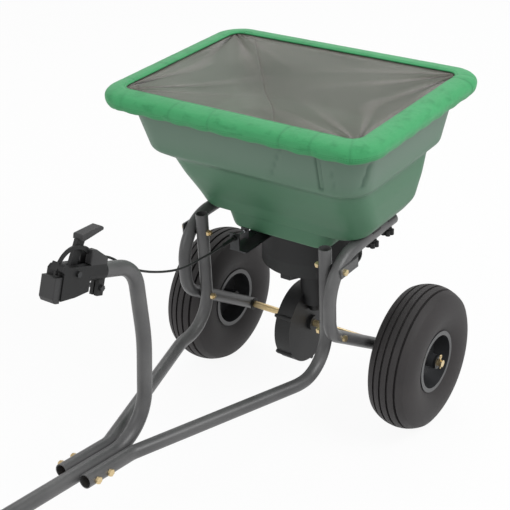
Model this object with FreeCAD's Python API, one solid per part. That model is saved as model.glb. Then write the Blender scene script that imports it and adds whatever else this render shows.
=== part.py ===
import FreeCAD, Part
"""A tow-behind broadcast spreader: hopper with rain cover, bent-tube frame, two pneumatic wheels, axle-driven
impeller, and a control lever that pulls the shut-off gate through a cable.

Millimetres. X is across the machine (+X is its left), Y points to the rear, Z is up. Everything is drawn with Y and Z
taken from the ground below the axle, and write_parts() moves the finished machine so that the origin is at the
centre of its footprint.
"""
import math
import os

V = FreeCAD.Vector

# ---- driving dimensions -------------------------------------------------------------------------------------------
# wheels and axle
TYRE_R = 165.0
TYRE_HALF_W = 55.0
TREAD_HALF_W = 43.0
TYRE_WALL = 7.0
GROOVE_W = 5.0
GROOVE_DEPTH = 5.0
GROOVE_STEP = 17.0
RIM_R = 64.0
RIM_FLANGE_R = 71.0
RIM_HALF_W = 44.0
RIM_WALL = 2.5
HUB_R = 16.0
HUB_HALF_W = 42.0
WEB_OFFSET = 4.0
WHEEL_X = 275.0
AXLE_R = 8.0
AXLE_Z = TYRE_R
AXLE_OVERHANG = 14.0
BUSH_WALL = 3.0
FLANGE_T = 3.0
RUN = 0.05                # radial running clearance of a shaft in its bearing
GAP = 0.4                 # end clearance between bodies that turn or slide past each other

# frame tubes
TUBE_R = 14.0
TOW_R = 15.0
TUBE_WALL = 2.0
UPRIGHT_X = 158.0
UPRIGHT_Y = -200.0
UPRIGHT_TOP = 498.0
ELBOW_Z = 222.0
ELBOW_R = 80.0
ARM_BEND_Y = -300.0
ARM_BEND_R = 130.0
ARM_END_Y = -828.0
ARM_JOIN_Y = -697.0
ARM_TIP_R = 60.0
SPACER_T = 2.0
LOOP_X = UPRIGHT_X + 2 * TUBE_R + SPACER_T
LOOP_TOP_Z = 478.0
LOOP_REAR_Y = 26.0
LOOP_FRONT_Y = -233.0
LOOP_TOP_R = 95.0
LOOP_LOW_R = 60.0
LOOP_SLOPE = 0.653        # fall of the lower loop arm towards the axle
LOOP_PAST_AXLE = 20.0
TOW_FRONT_Y = -1110.0
TOW_SLOPE = 0.145         # rise of the tow tube towards the hitch
TOW_BEND_Y = -622.0
TOW_BEND_Z = 236.0
TOW_BEND_R = 95.0
NECK_MID = (-598.0, 440.0)
NECK_MID_R = 400.0
NECK_TOP_Y = -607.0
NECK_TOP_R = 67.0
HEAD_TILT = 21.0          # rise of the tube's upper end, degrees

# hitch
HITCH_PLATE_T = 5.0
HITCH_PLATE_HALF_W = 20.0
HITCH_BACK = 90.0
HITCH_AHEAD = 45.0
HITCH_PIN_R = 8.25

# fasteners
M8_R = 4.0
M6_R = 3.0
HOLE_CLEAR = 0.3
HEX8 = 13.0
HEX6 = 10.0
HEAD_T = 5.5
NUT_T = 6.5

# hopper: outer levels from the rim down, each z, half width, front y, rear y, corner radius
HOPPER_TOP = 782.0
HOPPER_WALL = 3.5
SHOULDER_Z = LOOP_TOP_Z + TUBE_R + 2.0
FLOOR_Z = 455.0
FLOOR_T = 4.0
HOPPER_LEVELS = (
    (HOPPER_TOP, 299.0, -284.0, 138.0, 62.0),
    (652.0, 268.0, -257.0, 131.0, 60.0),
    (626.0, 242.0, -219.0, 121.0, 60.0),
    (523.0, 226.0, -158.0, 101.0, 60.0),
    (SHOULDER_Z, 204.0, -150.0, 84.0, 50.0),
    (SHOULDER_Z, 140.0, -148.0, 66.0, 36.0),
    (FLOOR_Z, 125.0, -146.0, 56.0, 30.0),
)
LIP_OUT = 22.0
LIP_T = 4.0
LIP_DROP = 12.0
HOPPER_BOLT_YS = (-60.0, 5.0)

# rain cover
HEM_HALF_X = 330.0
HEM_FRONT_Y = -326.0
HEM_REAR_Y = 174.0
HEM_CORNER_R = 70.0
HEM_BAND = 46.0
HEM_TOP = 796.0
HEM_BOTTOM = 757.0
HEM_T = 5.0
FILM_Z = 789.0
FILM_T = 1.2

# outlet, gate and impeller
PORT_XS = (-30.0, 0.0, 30.0)
PORT_Y = -55.0
PORT_LEN = 22.0
PORT_W = 18.0
GATE_TRAVEL = 28.0
GATE_T = 2.2
GATE_HALF_W = 50.0
GATE_REAR_Y = -9.5
GATE_FRONT_Y = -116.0
GATE_BAR_W = 16.0
TONGUE_X = -62.0
TONGUE_W = 20.0
TONGUE_FRONT_Y = -175.0
RAIL_W = 14.0
RAIL_T = 3.0
PLATE_T = 4.0
DRUM_R = 118.0
DRUM_WALL = 4.0
DRUM_BOTTOM = 382.0
CHUTE_R = 84.0
DEFLECTOR_BOTTOM = 350.0
IMPELLER_R = 110.0
IMPELLER_Z = 350.0
IMPELLER_T = 4.0
VANES = 8
VANE_H = 22.0
VANE_T = 3.0
SHAFT_R = 6.0
SHAFT_BOTTOM = 212.0
SHAFT_TOP = 486.0
AGITATOR_Z = 474.0
AGITATOR_R = 40.0

# gearbox: crown gear on the axle, pinion on the impeller shaft
MODULE = 3.4
CROWN_TEETH = 48
PINION_TEETH = 12
FACE_W = 14.0
BOX_R = 96.0
BOX_X0 = -50.0
BOX_X1 = -10.0
BOX_SPLIT = -30.0
BOX_WALL = 4.0
COLUMN_R = 32.0
COLUMN_WALL = 5.0
COLUMN_TOP = 314.0
LUG_R = 5.5
BOX_SCREWS = 6
SCREW_R = 2.5
HANGER_HALF_W = 12.0
HANGER_T = 4.0

# control head, in the plane of the neck: s forward along the tube, h square to it
HEAD_Y = -697.0
HEAD_Z = 639.0
TUBE_IN_HEAD = 52.0
HEAD_HALF_W = 20.0
HEAD_FRONT = 118.0
HEAD_REAR = -3.0
HEAD_LOW = -42.0
HEAD_HIGH = 17.0
BODY_REAR = 48.0          # the black body starts here; behind it a sleeve holds the tube
SLEEVE_R = 17.0
CLAMP_LOW = -45.0
LID_REAR = 8.0
LID_FRONT = 52.0
LID_TOP = 44.0
BLOCK_HALF_W = 17.0
BLOCK_LEN = 17.0
BLOCK_LOW = -46.0
LEVER_S = 82.0
LEVER_H = 4.0
LEVER_HALF_T = 4.0
LEVER_TOP_W = 20.0
GRIP_RISE = 17.0          # the grip's slope back from the tube's line
GRIP_LEN = 50.0
LEVER_BACK = 14.0         # lever's lean from square to the tube, at rest
LEVER_LEN = 57.0
STRAP_R = 49.0
STRAP_W = 7.0
STRAP_T = 4.0
STRAP_START = -4.0
STRAP_END = 132.0
STOP_ANGLE = 18.0
STOP_HALF_ANGLE = 8.0

# cable
CABLE_R = 2.4
WIRE_R = 1.0
WIRE_Z = 470.0
BARREL_FRONT_Y = -258.0
BARREL_REAR_Y = -210.0
CABLE_X = -12.0
GLAND_LEN = 10.0
GLAND_H = 22.0

NODES = {}


# ---- shape helpers ------------------------------------------------------------------------------------------------
def box(x0, x1, y0, y1, z0, z1):
    return Part.makeBox(x1 - x0, y1 - y0, z1 - z0, V(x0, y0, z0))


def rod(start, end, radius):
    axis = end - start
    return Part.makeCylinder(radius, axis.Length, start, axis)


def x_rod(x0, x1, y, z, radius):
    return rod(V(x0, y, z), V(x1, y, z), radius)


def z_rod(x, y, z0, z1, radius):
    return rod(V(x, y, z0), V(x, y, z1), radius)


def hex_prism(start, end, across_flats):
    """A hexagonal prism from start to end."""
    axis = end - start
    corner = across_flats / math.sqrt(3)
    points = [V(corner * math.cos(math.radians(60 * k)), corner * math.sin(math.radians(60 * k)), 0)
              for k in range(7)]
    prism = Part.Face(Part.makePolygon(points)).extrude(V(0, 0, axis.Length))
    prism.Placement = FreeCAD.Placement(start, FreeCAD.Rotation(V(0, 0, 1), axis))
    return prism


def prism(points, direction):
    return Part.Face(Part.makePolygon(points + [points[0]])).extrude(direction)


def rounded_wire(z, half_x, y0, y1, radius):
    """A rectangle with round corners at height z, always as four sides and four arcs in the same order."""
    x0, x1 = -half_x, half_x
    q = radius * (1 - math.sqrt(0.5))
    corners = (
        (V(x1 - radius, y0, z), V(x1 - q, y0 + q, z), V(x1, y0 + radius, z)),
        (V(x1, y1 - radius, z), V(x1 - q, y1 - q, z), V(x1 - radius, y1, z)),
        (V(x0 + radius, y1, z), V(x0 + q, y1 - q, z), V(x0, y1 - radius, z)),
        (V(x0, y0 + radius, z), V(x0 + q, y0 + q, z), V(x0 + radius, y0, z)),
    )
    edges = []
    for k, (start, middle, end) in enumerate(corners):
        edges.append(Part.Arc(start, middle, end).toShape())
        edges.append(Part.makeLine(end, corners[(k + 1) % 4][0]))
    return Part.Wire(edges)


def rounded_block(half_x, y0, y1, radius, z0, z1):
    return Part.Face(rounded_wire(z0, half_x, y0, y1, radius)).extrude(V(0, 0, z1 - z0))


def tube_path(points, radii):
    """Straight runs through points, joined at each inner point by a tangent arc of the radius given for it."""
    edges = []
    here = points[0]
    for k, radius in enumerate(radii, start=1):
        back = (points[k - 1] - points[k]).normalize()
        ahead = (points[k + 1] - points[k]).normalize()
        half_turn = (math.pi - back.getAngle(ahead)) / 2
        reach = radius * math.tan(half_turn)
        start = points[k] + back * reach
        end = points[k] + ahead * reach
        middle = points[k] + (back + ahead).normalize() * (radius / math.cos(half_turn) - radius)
        if (start - here).Length > 1e-6:
            edges.append(Part.makeLine(here, start))
        edges.append(Part.Arc(start, middle, end).toShape())
        here = end
    edges.append(Part.makeLine(here, points[-1]))
    return Part.Wire(edges)


def sweep(path, points, radius):
    ring = Part.Wire(Part.Circle(points[0], points[1] - points[0], radius).toShape())
    return path.makePipeShell([ring], True, False)


def bent_tube(points, radii, radius, wall=TUBE_WALL):
    path = tube_path(points, radii)
    return sweep(path, points, radius).cut(sweep(path, points, radius - wall))


def cable_radii(points):
    """Each arc as large as its two runs allow."""
    radii = []
    for before, here, after in zip(points, points[1:], points[2:]):
        back = before - here
        ahead = after - here
        half_turn = (math.pi - back.getAngle(ahead)) / 2
        radii.append(0.45 * min(back.Length, ahead.Length) / math.tan(half_turn))
    return radii


def turned(outline, x_mid=0.0, side=1):
    """A solid of revolution about the axle's line; the outline is a closed wire in x and radius."""
    face = Part.Face(outline)
    solid = face.revolve(V(0, 0, 0), V(1, 0, 0), 360)
    if side < 0:
        solid = solid.mirror(V(0, 0, 0), V(1, 0, 0))
    solid.translate(V(x_mid, 0, AXLE_Z))
    return solid


def x_ring(x0, x1, inner, outer):
    return x_rod(x0, x1, 0, AXLE_Z, outer).cut(x_rod(x0, x1, 0, AXLE_Z, inner))


def bolt(start, end, radius, across_flats):
    """A bolt whose head sits behind start and whose shank ends at end."""
    axis = (end - start).normalize()
    return rod(start, end, radius).fuse(hex_prism(start - axis * HEAD_T, start, across_flats)).removeSplitter()


def nut(start, axis, radius, across_flats):
    return hex_prism(start, start + axis * NUT_T, across_flats).cut(rod(start, start + axis * NUT_T, radius))


def head_point(x, s, h):
    """A point of the control head from x, s forward along the neck's end and h square to it."""
    tilt = math.radians(HEAD_TILT)
    return V(x, HEAD_Y - s * math.cos(tilt) + h * math.sin(tilt), HEAD_Z + s * math.sin(tilt) + h * math.cos(tilt))


def head_prism(outline, x0, x1):
    """Extrudes an outline of (s, h) points across the head."""
    return prism([head_point(x0, s, h) for s, h in outline], V(x1 - x0, 0, 0))


def head_rod(s, h, x0, x1, radius):
    return rod(head_point(x0, s, h), head_point(x1, s, h), radius)


def head_round(s, h, angle, reach):
    """The (s, h) point at an angle from s towards h, and a reach, from a centre."""
    return (s + reach * math.cos(math.radians(angle)), h + reach * math.sin(math.radians(angle)))


def tow_z(y):
    """Height of the tow tube's centre line, which rises towards the hitch."""
    return TOW_BEND_Z + TOW_SLOPE * (TOW_BEND_Y - y)


def both_sides(make):
    return {"left": make(1), "right": make(-1)}


# ---- wheels and axle ----------------------------------------------------------------------------------------------
def tyre_outline(inset):
    """One tyre section: the outside, or with an inset the air space inside it."""
    crown = TYRE_R - inset
    shoulder_x, shoulder_r = TREAD_HALF_W - 0.8 * inset, TYRE_R - 13.0 - inset
    side_x, side_r = TYRE_HALF_W - inset, 0.5 * (TYRE_R + RIM_R)
    bead_x, bead_r = RIM_HALF_W - RIM_WALL - inset, RIM_R
    flank_r = RIM_FLANGE_R + 2.0
    edges = [
        Part.makeLine(V(-bead_x, bead_r, 0), V(bead_x, bead_r, 0)),
        Part.makeLine(V(bead_x, bead_r, 0), V(bead_x, flank_r, 0)),
        Part.Arc(V(bead_x, flank_r, 0), V(side_x, side_r, 0), V(shoulder_x, shoulder_r, 0)).toShape(),
        Part.Arc(V(shoulder_x, shoulder_r, 0), V(0, crown, 0), V(-shoulder_x, shoulder_r, 0)).toShape(),
        Part.Arc(V(-shoulder_x, shoulder_r, 0), V(-side_x, side_r, 0), V(-bead_x, flank_r, 0)).toShape(),
        Part.makeLine(V(-bead_x, flank_r, 0), V(-bead_x, bead_r, 0)),
    ]
    return Part.Wire(edges)


def tyre(side):
    solid = turned(tyre_outline(0.0)).cut(turned(tyre_outline(TYRE_WALL)))
    for k in (-1.5, -0.5, 0.5, 1.5):
        mid = k * GROOVE_STEP
        crown_drop = 13.0 * (mid / TREAD_HALF_W) ** 2
        solid = solid.cut(x_ring(mid - GROOVE_W / 2, mid + GROOVE_W / 2,
                                 TYRE_R - crown_drop - GROOVE_DEPTH, TYRE_R + 5))
    solid.translate(V(side * WHEEL_X, 0, 0))
    return solid


def rim(side):
    """Steel rim: barrel with two flanges, a dished web and a hub tube."""
    barrel = x_ring(-RIM_HALF_W, RIM_HALF_W, RIM_R - RIM_WALL, RIM_R)
    for end in (-RIM_HALF_W, RIM_HALF_W - RIM_WALL):
        barrel = barrel.fuse(x_ring(end, end + RIM_WALL, RIM_R - RIM_WALL, RIM_FLANGE_R))
    web_x = side * WEB_OFFSET
    web = x_ring(web_x - RIM_WALL / 2, web_x + RIM_WALL / 2, HUB_R - RIM_WALL, RIM_R - RIM_WALL / 2)
    hub = x_ring(-HUB_HALF_W, HUB_HALF_W, AXLE_R + BUSH_WALL, HUB_R)
    solid = barrel.fuse(web).fuse(hub).removeSplitter()
    solid.translate(V(side * WHEEL_X, 0, 0))
    return solid.cut(valve_bore(side))


def valve_bore(side):
    x = side * WHEEL_X + side * (RIM_HALF_W - 16)
    return z_rod(x, 0, AXLE_Z + RIM_R - 12, AXLE_Z + RIM_R + 8, 4.0)


def valve(side):
    """Rubber valve stem through the rim barrel, leaning outwards inside the dish."""
    x = side * WHEEL_X + side * (RIM_HALF_W - 16)
    stem = z_rod(x, 0, AXLE_Z + RIM_R - RIM_WALL - 22, AXLE_Z + RIM_R + 3, 4.0)
    collar = z_rod(x, 0, AXLE_Z + RIM_R, AXLE_Z + RIM_R + 3, 6.5)
    return stem.fuse(collar).removeSplitter()


def wheel_bushes(side, bore):
    """Two flanged sleeves pressed into the hub's ends."""
    solids = []
    for end in (-1, 1):
        inner = side * WHEEL_X + end * (HUB_HALF_W - 28)
        face = side * WHEEL_X + end * HUB_HALF_W
        outer = face + end * FLANGE_T
        sleeve = x_ring(min(inner, outer), max(inner, outer), bore, AXLE_R + BUSH_WALL)
        flange = x_ring(min(face, outer), max(face, outer), bore, HUB_R)
        solids.append(sleeve.fuse(flange).removeSplitter())
    return solids


def axle_end():
    return WHEEL_X + HUB_HALF_W + FLANGE_T + AXLE_OVERHANG


def wheel_pin_x():
    return WHEEL_X - HUB_HALF_W + 14.0


def drive_pin_tool():
    x = wheel_pin_x()
    return z_rod(x, 0, AXLE_Z - HUB_R - 4, AXLE_Z + HUB_R + 4, M6_R)


def gear_pin_tool():
    x = BOX_X1 - 10.0
    return z_rod(x, 0, AXLE_Z - 20.0, AXLE_Z + 20.0, SCREW_R)


def cotter_x():
    return axle_end() - 6.0


def cotter(side):
    """Split pin: a straight shank with a ring at its upper end."""
    x = side * cotter_x()
    shank = z_rod(x, 0, AXLE_Z - 14, AXLE_Z + 13, 1.6)
    eye = Part.makeTorus(4.0, 1.5, V(x, 0, AXLE_Z + 16), V(1, 0, 0))
    return shank.fuse(eye).removeSplitter()


def axle():
    shaft = x_rod(-axle_end(), axle_end(), 0, AXLE_Z, AXLE_R)
    for side in (-1, 1):
        shaft = shaft.cut(z_rod(side * cotter_x(), 0, AXLE_Z - 14, AXLE_Z + 13, 1.6))
    return shaft.cut(drive_pin_tool()).cut(gear_pin_tool())


def axle_washers():
    outer_face = WHEEL_X + HUB_HALF_W + FLANGE_T + GAP
    return [x_ring(min(side * outer_face, side * (outer_face + 2.5)),
                   max(side * outer_face, side * (outer_face + 2.5)), AXLE_R, HUB_R - 1) for side in (1, -1)]


def axle_spacers():
    """Sleeves on the axle that keep the wheels off the side loops."""
    inner = LOOP_X + TUBE_R + FLANGE_T + GAP
    outer = WHEEL_X - HUB_HALF_W - FLANGE_T - GAP
    return [x_ring(min(side * inner, side * outer), max(side * inner, side * outer), AXLE_R, 12.5)
            for side in (1, -1)]


def axle_bushes():
    """Flanged nylon bearings through the lower ends of the side loops."""
    solids = []
    for side in (1, -1):
        x = side * LOOP_X
        sleeve = x_ring(x - TUBE_R - FLANGE_T, x + TUBE_R, AXLE_R + RUN, AXLE_R + BUSH_WALL)
        for end in (-1, 1):
            face = x + end * TUBE_R
            flange = x_ring(min(face, face + end * FLANGE_T), max(face, face + end * FLANGE_T),
                            AXLE_R + RUN, AXLE_R + BUSH_WALL + 4)
            sleeve = sleeve.fuse(flange)
        solids.append(sleeve.removeSplitter())
    return solids


# ---- frame --------------------------------------------------------------------------------------------------------
def frame_bolt_points():
    """Where the uprights and loops are bolted together: (y, z) of the lower and the upper bolt."""
    upper_reach = UPRIGHT_Y - (LOOP_FRONT_Y + LOOP_TOP_R)
    upper_z = LOOP_TOP_Z - LOOP_TOP_R + math.sqrt(LOOP_TOP_R ** 2 - upper_reach ** 2)
    return (UPRIGHT_Y, AXLE_Z - LOOP_SLOPE * UPRIGHT_Y), (UPRIGHT_Y, upper_z)


def tow_bolt_ys():
    return (ARM_JOIN_Y - 78.0, ARM_JOIN_Y - 112.0)


def arm_side_x():
    return TOW_R + TUBE_R + 0.2


def upright_arm(side):
    """Upright and drawbar arm, bent from one tube."""
    x_end = side * arm_side_x()
    points = [
        V(side * UPRIGHT_X, UPRIGHT_Y, UPRIGHT_TOP),
        V(side * UPRIGHT_X, UPRIGHT_Y, ELBOW_Z),
        V(side * UPRIGHT_X, ARM_BEND_Y, ELBOW_Z + 1),
        V(x_end, ARM_JOIN_Y, tow_z(ARM_JOIN_Y)),
        V(x_end, ARM_END_Y, tow_z(ARM_END_Y)),
    ]
    tube = bent_tube(points, [ELBOW_R, ARM_BEND_R, ARM_TIP_R], TUBE_R)
    for y, z in frame_bolt_points():
        tube = tube.cut(x_rod(side * UPRIGHT_X - 20, side * UPRIGHT_X + 20, y, z, M8_R + HOLE_CLEAR))
    for y in tow_bolt_ys():
        tube = tube.cut(x_rod(x_end - 20, x_end + 20, y, tow_z(y), M8_R + HOLE_CLEAR))
    return tube


def side_loop(side):
    """C-shaped tube that carries the hopper on its upper arm and the axle at its lower end."""
    x = side * LOOP_X
    reach = LOOP_PAST_AXLE / math.hypot(1, LOOP_SLOPE)
    points = [
        V(x, LOOP_REAR_Y, LOOP_TOP_Z),
        V(x, LOOP_FRONT_Y, LOOP_TOP_Z),
        V(x, LOOP_FRONT_Y, AXLE_Z - LOOP_SLOPE * LOOP_FRONT_Y),
        V(x, reach, AXLE_Z - LOOP_SLOPE * reach),
    ]
    tube = bent_tube(points, [LOOP_TOP_R, LOOP_LOW_R], TUBE_R)
    tube = tube.cut(x_rod(x - 20, x + 20, 0, AXLE_Z, AXLE_R + BUSH_WALL))
    for y, z in frame_bolt_points():
        tube = tube.cut(x_rod(x - 20, x + 20, y, z, M8_R + HOLE_CLEAR))
    for y in HOPPER_BOLT_YS:
        tube = tube.cut(z_rod(x, y, LOOP_TOP_Z - 20, LOOP_TOP_Z + 20, M6_R + HOLE_CLEAR))
    return tube


def tow_tube_points():
    tilt = math.radians(HEAD_TILT)
    return [
        V(0, TOW_FRONT_Y, tow_z(TOW_FRONT_Y)),
        V(0, TOW_BEND_Y, TOW_BEND_Z),
        V(0, *NECK_MID),
        V(0, NECK_TOP_Y, HEAD_Z - (NECK_TOP_Y - HEAD_Y) * math.tan(tilt)),
        V(0, HEAD_Y - TUBE_IN_HEAD * math.cos(tilt), HEAD_Z + TUBE_IN_HEAD * math.sin(tilt)),
    ]


def tow_tube():
    """Drawbar and gooseneck, bent from one tube: it runs back between the arms and up to the control head."""
    tube = bent_tube(tow_tube_points(), [TOW_BEND_R, NECK_MID_R, NECK_TOP_R], TOW_R)
    for y in tow_bolt_ys():
        tube = tube.cut(x_rod(-20, 20, y, tow_z(y), M8_R + HOLE_CLEAR))
    for point in hitch_bolt_points():
        tube = tube.cut(rod(point - hitch_up() * 20, point + hitch_up() * 20, M8_R + HOLE_CLEAR))
    return tube


def frame_bolts():
    solids = []
    for side in (1, -1):
        for k, (y, z) in enumerate(frame_bolt_points()):
            outer = LOOP_X + TUBE_R + (BRACKET_T if k else 0)
            solids.append(bolt(V(side * outer, y, z), V(side * (UPRIGHT_X - TUBE_R - NUT_T - 3), y, z), M8_R, HEX8))
    return solids


def m8_nuts():
    """The nuts of the frame, drawbar and hitch bolts, all alike."""
    up = hitch_up()
    half = arm_side_x() + TUBE_R
    solids = [nut(V(side * (UPRIGHT_X - TUBE_R), y, z), V(-side, 0, 0), M8_R, HEX8)
              for side in (1, -1) for y, z in frame_bolt_points()]
    solids += [nut(V(-half, y, tow_z(y)), V(-1, 0, 0), M8_R, HEX8) for y in tow_bolt_ys()]
    solids += [nut(p - up * (TOW_R + HITCH_PLATE_T), up * -1, M8_R, HEX8) for p in hitch_bolt_points()]
    return solids


def frame_spacers():
    solids = []
    for side in (1, -1):
        near = side * (UPRIGHT_X + TUBE_R)
        far = side * (LOOP_X - TUBE_R)
        for y, z in frame_bolt_points():
            ring = x_rod(min(near, far), max(near, far), y, z, 9.0)
            solids.append(ring.cut(x_rod(min(near, far), max(near, far), y, z, M8_R + HOLE_CLEAR)))
    return solids


BRACKET_T = 3.0


def loop_brackets():
    """Flat keepers on the outside of the loops, under the upper frame bolts."""
    y, z = frame_bolt_points()[1]
    solids = []
    for side in (1, -1):
        x = side * (LOOP_X + TUBE_R)
        plate = box(min(x, x + side * BRACKET_T), max(x, x + side * BRACKET_T), y - 12, y + 54, z - 11, z + 11)
        solids.append(plate.cut(x_rod(x - 10, x + 10, y, z, M8_R + HOLE_CLEAR)))
    return solids


def tow_joint_bolts():
    half = arm_side_x() + TUBE_R
    return [bolt(V(half, y, tow_z(y)), V(-half - NUT_T - 3, y, tow_z(y)), M8_R, HEX8) for y in tow_bolt_ys()]


def hitch_forward():
    return V(0, -1, TOW_SLOPE).normalize()


def hitch_up():
    return V(0, TOW_SLOPE, 1).normalize()


def hitch_pin_point():
    return V(0, TOW_FRONT_Y, tow_z(TOW_FRONT_Y)) + hitch_forward() * HITCH_AHEAD


def hitch_bolt_points():
    end = V(0, TOW_FRONT_Y, tow_z(TOW_FRONT_Y))
    return [end - hitch_forward() * reach for reach in (22.0, 70.0)]


def hitch_plates():
    """Two flat bars above and below the tube's end, with one pin hole through both."""
    solids = []
    up = hitch_up()
    forward = hitch_forward()
    pin = hitch_pin_point()
    length = HITCH_AHEAD + HITCH_BACK
    for side in (1, -1):
        base = pin + up * (TOW_R if side > 0 else -TOW_R - HITCH_PLATE_T)
        x = V(HITCH_PLATE_HALF_W, 0, 0)
        corners = [base + x, base - x, base - x - forward * length, base + x - forward * length]
        plate = prism(corners, up * HITCH_PLATE_T)
        plate = plate.fuse(rod(base, base + up * HITCH_PLATE_T, HITCH_PLATE_HALF_W)).removeSplitter()
        plate = plate.cut(rod(pin - up * 40, pin + up * 40, HITCH_PIN_R))
        for point in hitch_bolt_points():
            plate = plate.cut(rod(point - up * 40, point + up * 40, M8_R + HOLE_CLEAR))
        solids.append(plate)
    return solids


def hitch_bolts():
    up = hitch_up()
    reach = TOW_R + HITCH_PLATE_T
    return [bolt(p + up * reach, p - up * (reach + NUT_T + 3), M8_R, HEX8) for p in hitch_bolt_points()]


# ---- hopper and rain cover ----------------------------------------------------------------------------------------
def mitred_inset(levels, wall):
    """Moves a (z, half width) profile inwards by the wall, square to each of its faces."""
    moved = []
    for k in range(len(levels)):
        normals = []
        for a, b in ((k - 1, k), (k, k + 1)):
            if a < 0 or b >= len(levels):
                continue
            dz = levels[b][0] - levels[a][0]
            dx = levels[b][1] - levels[a][1]
            length = math.hypot(dz, dx)
            normals.append((dz / length, -dx / length))
        nx = sum(n[0] for n in normals) / len(normals)
        nz = sum(n[1] for n in normals) / len(normals)
        scale = wall / (nx * nx + nz * nz)
        moved.append((nz * scale, nx * scale))
    return moved


def hopper():
    """Open plastic funnel: upper band, ledge, tapering wall, and a shoulder that sits on the loops."""
    outside = Part.makeLoft([rounded_wire(*level) for level in HOPPER_LEVELS], True, True)
    inner = []
    for (z, half_x, y0, y1, radius), (dz, dx) in zip(HOPPER_LEVELS, mitred_inset(HOPPER_LEVELS, HOPPER_WALL)):
        wall_y = 1.15 * HOPPER_WALL
        inner.append([z + dz, half_x + dx, y0 + wall_y, y1 - wall_y, radius - HOPPER_WALL])
    inner[0][0] = HOPPER_TOP + 1.0
    inner[-1][0] = FLOOR_Z + FLOOR_T
    shell = outside.cut(Part.makeLoft([rounded_wire(*level) for level in inner], True, True))
    z, half_x, y0, y1, radius = HOPPER_LEVELS[0]
    lip_size = (half_x + LIP_OUT, y0 - LIP_OUT, y1 + LIP_OUT, radius + LIP_OUT)
    lip = rounded_block(*lip_size, z - LIP_T, z).fuse(rounded_block(*lip_size, z - LIP_DROP, z))
    hollow = rounded_block(half_x + LIP_OUT - LIP_T, y0 - LIP_OUT + LIP_T, y1 + LIP_OUT - LIP_T,
                           radius + LIP_OUT - LIP_T, z - LIP_DROP, z - LIP_T)
    mouth = rounded_block(half_x - HOPPER_WALL, y0 + HOPPER_WALL, y1 - HOPPER_WALL, radius - HOPPER_WALL,
                          z - LIP_DROP, z)
    shell = shell.fuse(lip.cut(hollow).cut(mouth)).removeSplitter()
    for x in PORT_XS:
        shell = shell.cut(port(x, PORT_Y, 0.0, FLOOR_Z - 1, FLOOR_Z + FLOOR_T + 1))
    shell = shell.cut(z_rod(0, 0, FLOOR_Z - 1, FLOOR_Z + FLOOR_T + 1, SHAFT_R + 4))
    for side in (1, -1):
        for y in HOPPER_BOLT_YS:
            shell = shell.cut(z_rod(side * LOOP_X, y, SHOULDER_Z - 5, SHOULDER_Z + 10, M6_R + HOLE_CLEAR))
    for x, y in base_screw_points():
        shell = shell.cut(z_rod(x, y, FLOOR_Z - 1, FLOOR_Z + FLOOR_T + 1, SCREW_R + HOLE_CLEAR))
    return shell


def port(x, y, grow, z0, z1):
    """A drop port with round ends, running front to rear."""
    radius = PORT_W / 2 + grow
    half = PORT_LEN / 2 - PORT_W / 2
    slot = box(x - radius, x + radius, y - half, y + half, z0, z1)
    for end in (-half, half):
        slot = slot.fuse(z_rod(x, y + end, z0, z1, radius))
    return slot.removeSplitter()


def hopper_saddles():
    """Blocks between the loops' upper arms and the hopper's shoulder, hollowed to the tube."""
    solids = []
    for side in (1, -1):
        x = side * LOOP_X
        arm = rod(V(x, -200, LOOP_TOP_Z), V(x, 60, LOOP_TOP_Z), TUBE_R)
        for y in HOPPER_BOLT_YS:
            block = box(x - 12, x + 12, y - 16, y + 16, LOOP_TOP_Z + 7, SHOULDER_Z)
            solids.append(block.cut(arm).cut(z_rod(x, y, LOOP_TOP_Z, SHOULDER_Z, M6_R + HOLE_CLEAR)))
    return solids


def hopper_bolts():
    solids = []
    for side in (1, -1):
        for y in HOPPER_BOLT_YS:
            top = V(side * LOOP_X, y, SHOULDER_Z + HOPPER_WALL)
            low = V(side * LOOP_X, y, LOOP_TOP_Z - TUBE_R - 12)
            solids.append(bolt(top, low, M6_R, HEX6))
    return solids


def hopper_knobs():
    """Hand nuts under the loops, each with five lobes."""
    solids = []
    for side in (1, -1):
        for y in HOPPER_BOLT_YS:
            x = side * LOOP_X
            top = LOOP_TOP_Z - TUBE_R
            knob = z_rod(x, y, top - 16, top, 9.0)
            for k in range(5):
                angle = math.radians(72 * k + 18)
                knob = knob.fuse(z_rod(x + 9 * math.cos(angle), y + 9 * math.sin(angle), top - 16, top - 4, 5.5))
            solids.append(knob.removeSplitter().cut(z_rod(x, y, top - 12, top, M6_R)))
    return solids


def cover_hem():
    """Elasticated edge of the cover: a band over the hopper's lip, closed at the top and down its outside."""
    outer = rounded_block(HEM_HALF_X, HEM_FRONT_Y, HEM_REAR_Y, HEM_CORNER_R, HEM_BOTTOM, HEM_TOP)
    under = rounded_block(HEM_HALF_X - HEM_T, HEM_FRONT_Y + HEM_T, HEM_REAR_Y - HEM_T, HEM_CORNER_R - HEM_T,
                          HEM_BOTTOM, HOPPER_TOP + GAP)
    return outer.cut(under).cut(rounded_block(*hem_mouth(), HEM_BOTTOM, HEM_TOP))


def hem_mouth():
    return (HEM_HALF_X - HEM_BAND, HEM_FRONT_Y + HEM_BAND, HEM_REAR_Y - HEM_BAND, HEM_CORNER_R - HEM_BAND)


def cover_film():
    return rounded_block(*hem_mouth(), FILM_Z - FILM_T / 2, FILM_Z + FILM_T / 2)


# ---- outlet, gate and impeller ------------------------------------------------------------------------------------
def base_screw_points():
    inset = GATE_HALF_W + 2 + RAIL_W / 2
    return [(side * inset, y) for side in (1, -1) for y in (-85.0, 30.0)]


def plate_top():
    return FLOOR_Z - RAIL_T


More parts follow.
